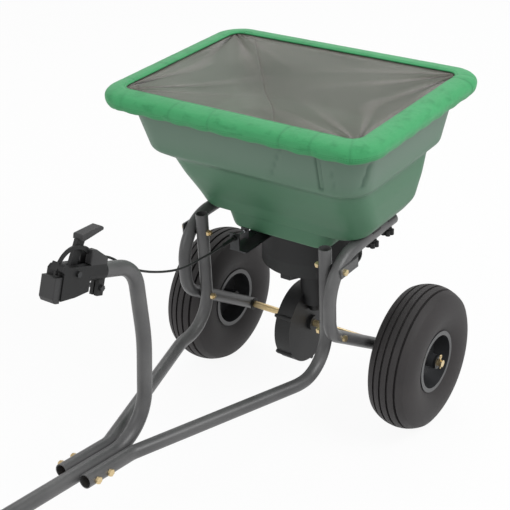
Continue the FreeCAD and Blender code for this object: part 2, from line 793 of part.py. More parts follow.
def base_housing():
    """Black moulding under the hopper: a ported plate, a drum over the impeller and a chute inside it."""
    top = plate_top()
    low = top - PLATE_T
    solid = z_rod(0, 0, low, top, DRUM_R)
    solid = solid.fuse(z_rod(0, 0, DRUM_BOTTOM, low, DRUM_R).cut(z_rod(0, 0, DRUM_BOTTOM, low, DRUM_R - DRUM_WALL)))
    chute = z_rod(0, 0, DRUM_BOTTOM + 6, low, CHUTE_R).cut(z_rod(0, 0, DRUM_BOTTOM + 6, low, CHUTE_R - 3))
    solid = solid.fuse(chute).removeSplitter()
    for x in PORT_XS:
        solid = solid.cut(port(x, PORT_Y, 1.0, low - 1, top + 1))
    solid = solid.cut(z_rod(0, 0, low - 1, top + 1, SHAFT_R + 2))
    for x, y in base_screw_points():
        solid = solid.cut(z_rod(x, y, low - 1, top + 1, SCREW_R + HOLE_CLEAR))
    return solid


def gate_rails():
    """Two strips beside the gate that hold the hopper floor off the housing's plate."""
    solids = []
    for side in (1, -1):
        inner = side * (GATE_HALF_W + 2)
        outer = inner + side * RAIL_W
        rail = box(min(inner, outer), max(inner, outer), GATE_FRONT_Y + 18, 44, plate_top(), FLOOR_Z)
        for x, y in base_screw_points():
            if x * side > 0:
                rail = rail.cut(z_rod(x, y, plate_top() - 1, FLOOR_Z + 1, SCREW_R + HOLE_CLEAR))
        solids.append(rail)
    return solids


def base_screws():
    solids = []
    for x, y in base_screw_points():
        top = V(x, y, FLOOR_Z + FLOOR_T)
        low = V(x, y, plate_top() - PLATE_T - 6)
        head = z_rod(x, y, FLOOR_Z + FLOOR_T, FLOOR_Z + FLOOR_T + 3, 4.5)
        solids.append(rod(low, top, SCREW_R).fuse(head).removeSplitter())
    return solids


def shutoff_gate():
    """Sliding plate, closed at rest: its ports stand behind the hopper's by the travel."""
    z0 = plate_top() + (RAIL_T - GATE_T) / 2
    z1 = z0 + GATE_T
    plate = box(-GATE_HALF_W, GATE_HALF_W, GATE_FRONT_Y, GATE_REAR_Y, z0, z1)
    for x in PORT_XS:
        plate = plate.cut(port(x, PORT_Y + GATE_TRAVEL, 0.0, z0 - 1, z1 + 1))
    left = TONGUE_X - TONGUE_W / 2
    plate = plate.fuse(box(left, GATE_HALF_W, GATE_FRONT_Y - GATE_BAR_W, GATE_FRONT_Y, z0, z1))
    plate = plate.fuse(box(left, left + TONGUE_W, TONGUE_FRONT_Y, GATE_FRONT_Y, z0, z1))
    lug = box(left, left + TONGUE_W, TONGUE_FRONT_Y, TONGUE_FRONT_Y + GATE_T, z0, WIRE_Z + 7)
    return plate.fuse(lug).removeSplitter()


def gate_wire():
    """Inner wire of the cable, fixed to the gate's lug and running into the barrel."""
    wire = rod(V(TONGUE_X, BARREL_REAR_Y - 5, WIRE_Z), V(TONGUE_X, TONGUE_FRONT_Y, WIRE_Z), WIRE_R)
    return wire.fuse(rod(V(TONGUE_X, TONGUE_FRONT_Y - 3, WIRE_Z), V(TONGUE_X, TONGUE_FRONT_Y, WIRE_Z), 3.0))


def cable_bracket():
    """Steel angle on the drum's front, with an upturned lug that holds the cable's barrel."""
    top = plate_top() - PLATE_T - 6
    shelf = box(TONGUE_X - 14, TONGUE_X + 30, BARREL_REAR_Y - 4, -DRUM_R / 2, top - 3, top)
    shelf = shelf.cut(z_rod(0, 0, top - 4, top + 1, DRUM_R))
    lug = box(TONGUE_X - 12, TONGUE_X + 12, BARREL_REAR_Y - 4, BARREL_REAR_Y - 1, top - 3, WIRE_Z + 10)
    solid = shelf.fuse(lug).removeSplitter()
    return solid.cut(rod(V(TONGUE_X, BARREL_FRONT_Y, WIRE_Z), V(TONGUE_X, BARREL_REAR_Y, WIRE_Z), 4.0))


def cable_barrel():
    """Threaded sleeve at the cable's end; the wire slides in its bore."""
    front = V(TONGUE_X, BARREL_FRONT_Y, WIRE_Z)
    rear = V(TONGUE_X, BARREL_REAR_Y, WIRE_Z)
    barrel = rod(front, rear, 4.0)
    bore = rod(front + V(0, 6, 0), rear, WIRE_R + 0.6)
    collar = rod(V(TONGUE_X, BARREL_REAR_Y - 10, WIRE_Z), V(TONGUE_X, BARREL_REAR_Y - 4, WIRE_Z), 6.5)
    return barrel.fuse(collar).removeSplitter().cut(bore)


def front_deflector():
    """Skirt round the front half of the impeller, so that nothing is thrown at the towing vehicle."""
    ring = z_rod(0, 0, DEFLECTOR_BOTTOM, DRUM_BOTTOM, DRUM_R).cut(
        z_rod(0, 0, DEFLECTOR_BOTTOM, DRUM_BOTTOM, DRUM_R - DRUM_WALL))
    return ring.common(box(-DRUM_R, DRUM_R, -DRUM_R, 0, DEFLECTOR_BOTTOM, DRUM_BOTTOM))


def impeller():
    """Disc with radial vanes on a hub."""
    top = IMPELLER_Z + IMPELLER_T
    solid = z_rod(0, 0, IMPELLER_Z, top, IMPELLER_R).fuse(z_rod(0, 0, IMPELLER_Z - 16, top + 8, 16.0))
    for k in range(VANES):
        vane = box(14.0, IMPELLER_R - 2, -VANE_T / 2, VANE_T / 2, IMPELLER_Z, top + VANE_H)
        vane.rotate(V(0, 0, 0), V(0, 0, 1), 360.0 * k / VANES)
        solid = solid.fuse(vane)
    return solid.removeSplitter().cut(z_rod(0, 0, IMPELLER_Z - 20, top + 40, SHAFT_R))


def impeller_shaft():
    shaft = z_rod(0, 0, SHAFT_BOTTOM, SHAFT_TOP, SHAFT_R)
    return shaft.cut(x_rod(-10, 10, 0, AGITATOR_Z, 2.5))


def agitator():
    """Wire through the shaft, its ends turned up, that stirs the load above the ports."""
    wire = x_rod(-AGITATOR_R, AGITATOR_R, 0, AGITATOR_Z, 2.5)
    for side in (1, -1):
        wire = wire.fuse(z_rod(side * (AGITATOR_R - 8), 0, AGITATOR_Z, AGITATOR_Z + 22, 2.0))
    return wire.removeSplitter()


def shaft_bush():
    floor_top = FLOOR_Z + FLOOR_T
    solid = z_rod(0, 0, FLOOR_Z, floor_top, SHAFT_R + 4).fuse(z_rod(0, 0, floor_top, floor_top + 3, SHAFT_R + 9))
    return solid.removeSplitter().cut(z_rod(0, 0, FLOOR_Z - 1, floor_top + 4, SHAFT_R + RUN))


# ---- gearbox ------------------------------------------------------------------------------------------------------
PINION_PITCH_R = MODULE * PINION_TEETH / 2
CROWN_PITCH_R = MODULE * CROWN_TEETH / 2
PINION_Z = AXLE_Z + CROWN_PITCH_R
TOOTH_TIP_X = -PINION_PITCH_R + 0.9 * MODULE
TOOTH_ROOT_X = -PINION_PITCH_R - 1.5 * MODULE


def crown_gear():
    """Face gear on the axle: a disc whose teeth point along it, towards the pinion."""
    r0 = CROWN_PITCH_R - FACE_W / 2 - 1
    r1 = CROWN_PITCH_R + FACE_W / 2 + 1
    back = BOX_X0 + BOX_WALL + 3
    solid = x_ring(back, TOOTH_ROOT_X, r0 - 6, r1)
    solid = solid.fuse(x_ring(back, back + 5, AXLE_R, r0))
    solid = solid.fuse(x_ring(back, BOX_X1 - BOX_WALL - 1, AXLE_R, 16.0))
    half_root = 0.83 * MODULE
    half_tip = 0.28 * MODULE
    for k in range(CROWN_TEETH):
        section = [V(TOOTH_ROOT_X - 1, -half_root, r0), V(TOOTH_ROOT_X, -half_root, r0),
                   V(TOOTH_TIP_X, -half_tip, r0), V(TOOTH_TIP_X, half_tip, r0),
                   V(TOOTH_ROOT_X, half_root, r0), V(TOOTH_ROOT_X - 1, half_root, r0)]
        tooth = prism(section, V(0, 0, r1 - r0 - 0.5))
        tooth.rotate(V(0, 0, 0), V(1, 0, 0), 360.0 * k / CROWN_TEETH)
        tooth.translate(V(0, 0, AXLE_Z))
        solid = solid.fuse(tooth)
    return solid.cut(gear_pin_tool())


def pinion():
    """Spur pinion with a gap facing the crown gear's top tooth."""
    tip_r = PINION_PITCH_R + 0.74 * MODULE
    root_r = PINION_PITCH_R - 1.39 * MODULE
    points = []
    for k in range(PINION_TEETH):
        middle = math.radians((k + 0.5) * 360.0 / PINION_TEETH)
        for reach, half in ((root_r, -1.0), (PINION_PITCH_R, -0.66), (tip_r, -0.26),
                            (tip_r, 0.26), (PINION_PITCH_R, 0.66), (root_r, 1.0)):
            angle = middle + half * MODULE / reach
            points.append(V(reach * math.cos(angle), reach * math.sin(angle), PINION_Z - FACE_W / 2))
    gear = prism(points, V(0, 0, FACE_W))
    hub = z_rod(0, 0, PINION_Z - FACE_W / 2, PINION_Z + FACE_W / 2 + 6, 11.0)
    return gear.fuse(hub).removeSplitter().cut(z_rod(0, 0, PINION_Z - 30, PINION_Z + 30, SHAFT_R))


def box_lug_points():
    """Centres of the screw lugs round the casing, as y and z; none stands in the column's way."""
    reach = BOX_R
    return [(reach * math.cos(math.radians(a)), AXLE_Z + reach * math.sin(math.radians(a)))
            for a in (30 + 360.0 * k / BOX_SCREWS for k in range(BOX_SCREWS)) if abs(a - 90) > 5]


def gearbox_solid():
    """The whole casing before it is parted: a disc round the crown gear and a column round the pinion's shaft."""
    body = x_rod(BOX_X0, BOX_X1, 0, AXLE_Z, BOX_R).fuse(x_rod(BOX_X0 - 8, BOX_X1 + 8, 0, AXLE_Z, 18.0))
    for y, z in box_lug_points():
        body = body.fuse(x_rod(BOX_X0, BOX_X1, y, z, LUG_R))
    floor = PINION_Z - FACE_W / 2 - 5 - COLUMN_WALL
    body = body.fuse(z_rod(0, 0, floor, COLUMN_TOP, COLUMN_R)).fuse(z_rod(0, 0, SHAFT_BOTTOM - 6, floor, 13.0))
    disc_space = x_rod(BOX_X0 + BOX_WALL, BOX_X1 - BOX_WALL, 0, AXLE_Z, BOX_R - BOX_WALL)
    pinion_space = z_rod(0, 0, floor + COLUMN_WALL, PINION_Z + FACE_W / 2 + 8, COLUMN_R - COLUMN_WALL)
    body = body.removeSplitter().cut(disc_space).cut(pinion_space)
    body = body.cut(x_rod(BOX_X0 - 9, BOX_X1 + 9, 0, AXLE_Z, AXLE_R + RUN))
    body = body.cut(z_rod(0, 0, SHAFT_BOTTOM - 2, COLUMN_TOP + 1, SHAFT_R + RUN))
    for y, z in box_lug_points():
        body = body.cut(x_rod(BOX_X0 - 1, BOX_X1 - 6, y, z, SCREW_R))
    return body


def gearbox_half(side):
    """The casing's part to the left (+1) or right (-1) of its joint; the column stays with the left one."""
    reach = 400.0
    right_space = box(-reach, BOX_SPLIT, -reach, reach, 0, 2 * reach)
    body = gearbox_solid()
    column = z_rod(0, 0, PINION_Z - FACE_W, COLUMN_TOP, COLUMN_R)
    right = body.common(right_space).cut(column)
    return body.cut(right_space.cut(column)) if side > 0 else right


def gearbox_screws():
    solids = []
    for y, z in box_lug_points():
        head = x_rod(BOX_X0 - 4, BOX_X0, y, z, 4.2)
        solids.append(x_rod(BOX_X0, BOX_X1 - 6, y, z, SCREW_R).fuse(head).removeSplitter())
    return solids


def gearbox_hanger():
    """Bent strap that stops the gearbox turning: from the deflector's edge back under the impeller."""
    low = COLUMN_TOP + HANGER_T
    side = [(-DRUM_R, DEFLECTOR_BOTTOM), (HANGER_T - DRUM_R, DEFLECTOR_BOTTOM), (HANGER_T - DRUM_R, DEFLECTOR_BOTTOM - 7),
            (-COLUMN_R - 4, low), (COLUMN_R - 6, low), (COLUMN_R - 6, COLUMN_TOP), (-COLUMN_R - 6, COLUMN_TOP),
            (-DRUM_R, DEFLECTOR_BOTTOM - 10)]
    strap = prism([V(-HANGER_HALF_W, y, z) for y, z in side], V(2 * HANGER_HALF_W, 0, 0))
    return strap.cut(z_rod(0, 0, COLUMN_TOP - 1, COLUMN_TOP + 9, SHAFT_R + 2))


def drive_pins():
    return [drive_pin_tool(), gear_pin_tool()]


# ---- control head and cable ---------------------------------------------------------------------------------------
def control_housing():
    """Moulded body on the neck's end, slotted for the lever, with a split clamp behind."""
    outline = [(BODY_REAR, HEAD_LOW + 12), (LEVER_S, HEAD_LOW + 4), (HEAD_FRONT, HEAD_LOW),
               (HEAD_FRONT, HEAD_HIGH - 6), (HEAD_FRONT - 6, HEAD_HIGH), (BODY_REAR, HEAD_HIGH)]
    body = head_prism(outline, -HEAD_HALF_W, HEAD_HALF_W)
    sleeve = rod(head_point(0, HEAD_REAR, 0), head_point(0, BODY_REAR + 5, 0), SLEEVE_R)
    deck = head_prism([(LID_REAR, 0), (BODY_REAR + 5, 0), (BODY_REAR + 5, HEAD_HIGH), (LID_REAR, HEAD_HIGH)],
                      -HEAD_HALF_W, HEAD_HALF_W)
    tabs = head_prism([(-6, CLAMP_LOW), (10, CLAMP_LOW), (10, -12), (-6, -12)], -9, 9)
    body = body.fuse([sleeve, deck, tabs]).removeSplitter()
    bore = rod(head_point(0, -30, 0), head_point(0, TUBE_IN_HEAD, 0), TOW_R)
    slot = head_prism([(36, 60), (36, -8), (HEAD_FRONT - 3, -8), (HEAD_FRONT - 3, 60)],
                      -LEVER_HALF_T - 2, LEVER_HALF_T + 2)
    body = body.cut(bore).cut(slot)
    split = head_prism([(-10, CLAMP_LOW - 4), (11, CLAMP_LOW - 4), (11, -12), (-10, -12)], -1.5, 1.5)
    body = body.cut(split)
    body = body.cut(head_rod(2, -30, -20, 20, M6_R + HOLE_CLEAR))
    return body.cut(head_rod(LEVER_S, LEVER_H, -40, 40, M6_R))


def control_cover():
    """Grey lid behind the lever, with the cable's gland on its rear face."""
    outline = [(LID_REAR, HEAD_HIGH), (LID_FRONT, HEAD_HIGH), (LID_FRONT, LID_TOP), (LID_FRONT - 12, LID_TOP + 1),
               (LID_REAR, GLAND_H + 8)]
    lid = head_prism(outline, -HEAD_HALF_W, HEAD_HALF_W)
    lid = lid.makeFillet(3.0, [e for e in lid.Edges if min(v.Z for v in e.Vertexes) > head_point(0, LID_REAR, 24).z])
    gland = rod(head_point(CABLE_X, LID_REAR + 5, GLAND_H), head_point(CABLE_X, LID_REAR - GLAND_LEN, GLAND_H), 4.5)
    slot = head_prism([(LID_FRONT - 22, HEAD_HIGH), (LID_FRONT + 2, HEAD_HIGH), (LID_FRONT + 2, LID_TOP + 8),
                       (LID_FRONT - 22, LID_TOP + 8)], -LEVER_HALF_T - 2, LEVER_HALF_T + 2)
    return lid.fuse(gland).removeSplitter().cut(quadrant()).cut(slot)


def control_front_block():
    """Square grey boss in front of the body."""
    half = BLOCK_HALF_W
    nose = HEAD_FRONT + BLOCK_LEN
    block = head_prism([(HEAD_FRONT, BLOCK_LOW), (nose - 6, BLOCK_LOW), (nose, BLOCK_LOW + 8), (nose, 0),
                        (HEAD_FRONT, 0)], -half, half)
    return block.makeFillet(2.5, [e for e in block.Edges if head_s(e) > HEAD_FRONT + 1])


def head_s(edge):
    """How far forward along the tube an edge's rearmost end is."""
    tilt = math.radians(HEAD_TILT)
    return min((HEAD_Y - v.Y) * math.cos(tilt) + (v.Z - HEAD_Z) * math.sin(tilt) for v in edge.Vertexes)


def strap_band(r0, r1, start, end, x0, x1, steps=24):
    """A band round the lever's pivot between two radii and two angles."""
    outline = [head_round(LEVER_S, LEVER_H, start + (end - start) * k / steps, r1) for k in range(steps + 1)]
    outline += [head_round(LEVER_S, LEVER_H, end - (end - start) * k / steps, r0) for k in range(steps + 1)]
    return head_prism(outline, x0, x1)


def quadrant():
    """Arched strap beside the lever that carries the rate stop."""
    x0 = LEVER_HALF_T + 2.5
    strap = strap_band(STRAP_R - STRAP_W, STRAP_R, STRAP_START, STRAP_END, x0, x0 + STRAP_T)
    foot_s = LEVER_S + STRAP_R - STRAP_W
    foot = head_prism([(foot_s, 0), (foot_s + STRAP_W, 0), (foot_s + STRAP_W, STRAP_T), (foot_s, STRAP_T)],
                      x0, BLOCK_HALF_W - 3)
    return strap.fuse(foot).removeSplitter()


def lever_angle():
    return 90.0 + LEVER_BACK


def lever():
    """Flat arm from the pivot up to the grip, with a short tail that pulls the cable."""
    angle = math.radians(lever_angle())
    along = (math.cos(angle), math.sin(angle))
    across = (math.sin(angle), -math.cos(angle))

    def at(reach, offset):
        return (LEVER_S + along[0] * reach + across[0] * offset, LEVER_H + along[1] * reach + across[1] * offset)

    arm = head_prism([at(0, -8), at(LEVER_LEN, -LEVER_TOP_W / 2), at(LEVER_LEN, LEVER_TOP_W / 2), at(0, 8)],
                     -LEVER_HALF_T, LEVER_HALF_T)
    hub = head_rod(LEVER_S, LEVER_H, -LEVER_HALF_T, LEVER_HALF_T, 10.0)
    return arm.fuse(hub).removeSplitter().cut(head_rod(LEVER_S, LEVER_H, -9, 9, M6_R + RUN))


def lever_grip():
    """Paddle on the lever's end, leaning back over the cover."""
    s0, h0 = head_round(LEVER_S, LEVER_H, lever_angle(), LEVER_LEN)
    rise = math.radians(GRIP_RISE)
    back = (-math.cos(rise), math.sin(rise))
    up = (math.sin(rise), math.cos(rise))

    def at(reach, height):
        return (s0 + back[0] * reach + up[0] * height, h0 + back[1] * reach + up[1] * height)

    paddle = head_prism([at(-7, -2), at(GRIP_LEN, 3), at(GRIP_LEN + 2, 9), at(GRIP_LEN - 4, 13), at(-4, 13)], -11, 11)
    paddle = paddle.makeFillet(2.5, [e for e in paddle.Edges if e.Length > 7])
    arm_angle = math.radians(lever_angle())
    low = (s0 - 20 * math.cos(arm_angle), h0 - 20 * math.sin(arm_angle))
    half = LEVER_TOP_W / 2
    side = (half * math.sin(arm_angle), -half * math.cos(arm_angle))
    stem_space = head_prism([(low[0] - side[0], low[1] - side[1]), (s0 - side[0], h0 - side[1]),
                             (s0 + side[0], h0 + side[1]), (low[0] + side[0], low[1] + side[1])],
                            -HEAD_HALF_W, HEAD_HALF_W)
    return paddle.cut(stem_space)


def control_bolts():
    """The lever's pivot and the clamp's bolt, each with its nut run on."""
    return [lever_pivot(), clamp_bolt()]


def lever_pivot():
    half = HEAD_HALF_W
    shank = head_rod(LEVER_S, LEVER_H, -half - 3, half, M6_R)
    head = hex_prism(head_point(half, LEVER_S, LEVER_H), head_point(half + 4, LEVER_S, LEVER_H), HEX6)
    tail = hex_prism(head_point(-half - 5, LEVER_S, LEVER_H), head_point(-half, LEVER_S, LEVER_H), HEX6)
    return shank.fuse(head).fuse(tail).removeSplitter()


def rate_stop():
    """Sliding block on the strap that limits how far the gate opens."""
    x0 = LEVER_HALF_T + 2.5
    low, high = STOP_ANGLE - STOP_HALF_ANGLE, STOP_ANGLE + STOP_HALF_ANGLE
    outer = strap_band(STRAP_R - STRAP_W - 4, STRAP_R + 4, low, high, 0, x0 + STRAP_T + 5, 6)
    space = strap_band(STRAP_R - STRAP_W - GAP, STRAP_R + GAP, low - 4, high + 4, x0 - GAP, x0 + STRAP_T + GAP, 6)
    return outer.cut(space)


def rate_stop_screw():
    s, h = head_round(LEVER_S, LEVER_H, STOP_ANGLE, STRAP_R - STRAP_W / 2)
    x = LEVER_HALF_T + 2.5 + STRAP_T + 5
    return head_rod(s, h, x, x + 12, 8.0)


def clamp_bolt():
    axis_s, axis_h = 2, -30
    start = head_point(9, axis_s, axis_h)
    end = head_point(-9 - NUT_T, axis_s, axis_h)
    nut_end = head_point(-9 - 5, axis_s, axis_h)
    solid = bolt(start, end, M6_R, HEX6)
    return solid.fuse(hex_prism(nut_end, head_point(-9, axis_s, axis_h), HEX6)).removeSplitter()


def cable_points():
    """Route of the control cable from the gland to the barrel."""
    start = head_point(CABLE_X, LID_REAR - GLAND_LEN, GLAND_H)
    second = start + (head_point(0, -1, 0) - head_point(0, 0, 0)) * 30
    return [
        start,
        second,
        V(-24, -603, 594),
        V(-31, -550, 557),
        V(-37, -494, 527),
        V(-43, -436, 502),
        V(-50, -384, 487),
        V(-57, -334, 479),
        V(TONGUE_X, -292, WIRE_Z),
        V(TONGUE_X, BARREL_FRONT_Y, WIRE_Z),
    ]


def control_cable():
    points = cable_points()
    radii = cable_radii(points)
    path = tube_path(points, radii)
    cable = sweep(path, points, CABLE_R)
    expected = math.pi * CABLE_R ** 2 * path.Length
    print("cable arc radii", [round(r) for r in radii])
    print("cable length %.0f, volume / (section x length) %.4f" % (path.Length, cable.Volume / expected))
    return cable


# ---- the parts ----------------------------------------------------------------------------------------------------
def node(name, shape):
    NODES[name] = Part.makeCompound(shape) if isinstance(shape, list) else shape


def make_nodes():
    for name, make in (("upright_arm", upright_arm), ("side_loop", side_loop), ("tyre", tyre), ("rim", rim),
                       ("valve", valve)):
        for side, shape in both_sides(make).items():
            node(name + "_" + side, shape)
    node("rim_left", NODES["rim_left"].cut(drive_pin_tool()))
    node("wheel_bushes_left", [s.cut(drive_pin_tool()) for s in wheel_bushes(1, AXLE_R)])
    node("wheel_bushes_right", wheel_bushes(-1, AXLE_R + RUN))
    node("axle_cotters", [cotter(1), cotter(-1)])
    node("gearbox_left", gearbox_half(1))
    node("gearbox_right", gearbox_half(-1))
    for make in (
        hopper, cover_hem, cover_film, tow_tube, hitch_plates, hitch_bolts, tow_joint_bolts,
        frame_bolts, m8_nuts, frame_spacers, loop_brackets, axle_bushes, hopper_saddles,
        hopper_bolts, hopper_knobs, base_housing, gate_rails, base_screws, shutoff_gate, gate_wire, cable_bracket,
        cable_barrel, front_deflector, impeller, impeller_shaft, agitator, shaft_bush, axle, axle_washers,
        axle_spacers, drive_pins, crown_gear, pinion, gearbox_screws, gearbox_hanger, control_housing,
        control_cover, control_front_block, quadrant, lever, lever_grip, control_bolts, rate_stop,
        rate_stop_screw, control_cable,
    ):
        node(make.__name__, make())


def footprint_shift():
    """Moves the machine along Y so that the origin is midway between its hitch end and the cover's rear edge."""
    up = hitch_up()
    forward = hitch_forward()
    front = hitch_pin_point() - up * (TOW_R + HITCH_PLATE_T) + V(0, forward.y, 0) * HITCH_PLATE_HALF_W
    return V(0, -(front.y + HEM_REAR_Y) / 2, 0)


def write_parts():
    os.makedirs("parts", exist_ok=True)
    shift = footprint_shift()
    for name, shape in NODES.items():
        placed = shape.copy()
        placed.translate(shift)
        placed.exportStep("parts/" + name + ".step")
        print("%-20s solids %2d  volume %10.0f  valid %s"
              % (name, len(placed.Solids), placed.Volume, placed.isValid()))
    print("nodes", len(NODES), "shift", round(shift.y, 3))


make_nodes()
write_parts()
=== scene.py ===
# %% [markdown]
# # A tow-behind spreader, finished for rendering
# The frame comes packed from CAD, in metres, with +Y to the rear and Z up.
# Its steel, castings and gears keep their CAD meshes and get finishes here.
# The hopper, the gathered hem, the film and the cable, which are moulded, sewn
# or flexible, are worked out again as finer surfaces.

import bpy
import numpy as np
from mathutils import Matrix


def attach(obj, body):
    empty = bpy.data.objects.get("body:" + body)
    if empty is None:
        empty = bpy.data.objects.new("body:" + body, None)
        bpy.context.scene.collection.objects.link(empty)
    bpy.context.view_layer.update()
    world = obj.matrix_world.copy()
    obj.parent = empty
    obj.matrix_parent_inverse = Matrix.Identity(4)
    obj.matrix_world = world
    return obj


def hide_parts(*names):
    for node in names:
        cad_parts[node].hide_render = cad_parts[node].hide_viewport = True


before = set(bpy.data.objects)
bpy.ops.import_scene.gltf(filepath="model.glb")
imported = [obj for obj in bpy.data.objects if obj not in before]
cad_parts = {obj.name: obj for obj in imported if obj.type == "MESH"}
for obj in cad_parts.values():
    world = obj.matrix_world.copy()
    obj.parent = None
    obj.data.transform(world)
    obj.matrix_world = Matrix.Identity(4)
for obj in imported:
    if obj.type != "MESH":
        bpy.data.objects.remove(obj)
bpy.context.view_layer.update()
AXLE_Y = 0.501599      # the axle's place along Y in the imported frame


def at_axle(x, y, z):
    """A point given in millimetres from the ground below the axle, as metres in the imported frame."""
    return (x / 1000, y / 1000 + AXLE_Y, z / 1000)


# %% [markdown]
# ## Camera and studio
# A long lens from well back keeps the machine's proportions. The three axes
# below are the camera's own right, up and backward directions, so the view
# leans by the same small roll as a hand-held camera. The floor is pale, and
# what the camera sees of the floor is mostly plain white with a soft shadow.

# %% Camera
CAMERA_AT = (1.40144, -1.64960, 1.72948)
FOCAL_LENGTH, SENSOR_WIDTH = 90.28, 36.0      # millimetres
RIGHT = (0.81998979, 0.5710192, -0.03941859)
UP = (-0.24202847, 0.40831545, 0.88017084)
FORWARD = (-0.51868967, 0.71219068, -0.47301741)
lens = bpy.data.cameras.new("studio_camera")
lens.lens, lens.sensor_width = FOCAL_LENGTH, SENSOR_WIDTH
lens.clip_start, lens.clip_end = 0.05, 60.0
camera = bpy.data.objects.new("studio_camera", lens)
turn = Matrix((RIGHT, UP, [-v for v in FORWARD])).transposed()
camera.matrix_world = Matrix.Translation(CAMERA_AT) @ turn.to_4x4()
bpy.context.scene.collection.objects.link(camera)
bpy.context.scene.camera = camera
bpy.context.scene.view_settings.view_transform = "Standard"
print("camera looks along", FORWARD)

# %% [markdown]
# ## Shader arithmetic
# A pattern is easier to read as a sum than as a web of nodes. `Wire` holds one
# output socket, and `+ - * /` on it add Math nodes. Every other node comes
# from `add`, which sets the node up, then fills in or links its sockets.


# %% Wires and nodes
class Wire:
    """An output socket that can be added, subtracted, multiplied, divided and raised."""

    def __init__(self, socket):
        self.socket = socket
        self.tree = socket.id_data

    def maths(self, how, first, second):
        return add(self.tree, "ShaderNodeMath", {"operation": how}, {0: first, 1: second})

    def __add__(self, other):
        return self.maths("ADD", self, other)

    def __sub__(self, other):
        return self.maths("SUBTRACT", self, other)

    def __mul__(self, other):
        return self.maths("MULTIPLY", self, other)

    def __truediv__(self, other):
        return self.maths("DIVIDE", self, other)

    def __rsub__(self, other):
        return self.maths("SUBTRACT", other, self)

    __radd__ = __add__
    __rmul__ = __mul__


def add(tree, kind, settings=None, inputs=None, out=0):
    """A new node: settings are its own properties, stops a ramp's colours.

    inputs fills in or links its sockets, by name or number.
    """
    made = tree.nodes.new(kind)
    for key, value in (settings or {}).items():
        if key == "stops":
            ramp = made.color_ramp
            while len(ramp.elements) < len(value):
                ramp.elements.new(0.5)
            for element, (place, shade) in zip(ramp.elements, value):
                element.position, element.color = place, shade
        else:
            setattr(made, key, value)
    for key, value in (inputs or {}).items():
        if isinstance(value, Wire):
            tree.links.new(value.socket, made.inputs[key])
        else:
            made.inputs[key].default_value = value
    return Wire(made.outputs[out])


def srgb(red, green, blue):
    """A colour given in 0-255 display values, as the linear colour that a shader takes."""
    shown = np.array([red, green, blue]) / 255.0
    linear = np.where(shown <= 0.04045, shown / 12.92, ((shown + 0.055) / 1.055) ** 2.4)
    return (*linear.tolist(), 1.0)


# %% [markdown]
# ## The kinds of finish
# One recipe serves all hard finishes, because they differ in numbers only:
# two near shades mixed by broad noise, a roughness that wanders a little, and
# a fine bump for grain, orange peel or brushed plating.


# %% One recipe for hard finishes
def start(name):
    """A new material's node tree, its surface shader and its Object coordinates."""
    material = bpy.data.materials.new(name)
    material.use_nodes = True
    tree = material.node_tree
    shader = tree.nodes["Principled BSDF"]
    place = add(tree, "ShaderNodeTexCoord", out="Object")
    return material, tree, shader, place


def noise(tree, place, scale, detail=3.0, stretch=(1, 1, 1), roughness=0.5):
    """Soft noise from 0 to 1, with features 1/scale metres across, long on an axis whose stretch is small."""
    where = add(tree, "ShaderNodeMapping", inputs={"Vector": place, "Scale": stretch})
    return add(tree, "ShaderNodeTexNoise", inputs={"Vector": where, "Scale": scale, "Detail": detail,
                                                   "Roughness": roughness})


def rising(tree, value, low, high, **settings):
    """A Map Range node: 0 where value is low and 1 where it is high."""
    return add(tree, "ShaderNodeMapRange", settings, {"Value": value, "From Min": low, "From Max": high})


def painted(tree, attribute):
    """A tone from 0 to 1 that the mesh carries at its points."""
    return add(tree, "ShaderNodeAttribute", {"attribute_name": attribute}, out="Fac")


def blend_colour(tree, factor, low, high):
    """low where factor is 0, high where it is 1."""
    return add(tree, "ShaderNodeMix", {"data_type": "RGBA"}, {0: factor, 6: low, 7: high}, out=2)


def feed(tree, shader, **links):
    """Links wires to the shader's sockets; the names use _ for a space."""
    for name, wire in links.items():
        tree.links.new(wire.socket, shader.inputs[name.replace("_", " ")])


def bumped(tree, height, distance, strength=1.0):
    """A Bump node: height from 0 to 1 stands for distance in metres."""
    return add(tree, "ShaderNodeBump", inputs={"Height": height, "Distance": distance, "Strength": strength},
               out="Normal")


def hard_finish(name, dark, light, rough, grain, grain_depth, metallic=0.0, coat=0.0, blotch=9.0,
                stretch=(1, 1, 1), specular=0.5):
    """Two shades mixed by noise, roughness between two values, and grain of 1/grain metres, grain_depth deep."""
    material, tree, shader, place = start(name)
    broad = noise(tree, place, blotch, 4.0)
    fine = noise(tree, place, grain, 2.0, stretch)
    shade = rising(tree, broad * 0.75 + fine * 0.25, 0.36, 0.64)
    feed(tree, shader, Base_Color=blend_colour(tree, shade, dark, light),
         Roughness=rough[0] + (rough[1] - rough[0]) * broad,
         Normal=bumped(tree, fine, grain_depth))
    shader.inputs["Metallic"].default_value = metallic
    shader.inputs["Coat Weight"].default_value = coat
    shader.inputs["Coat Roughness"].default_value = 0.22
    shader.inputs["Specular IOR Level"].default_value = specular
    return material


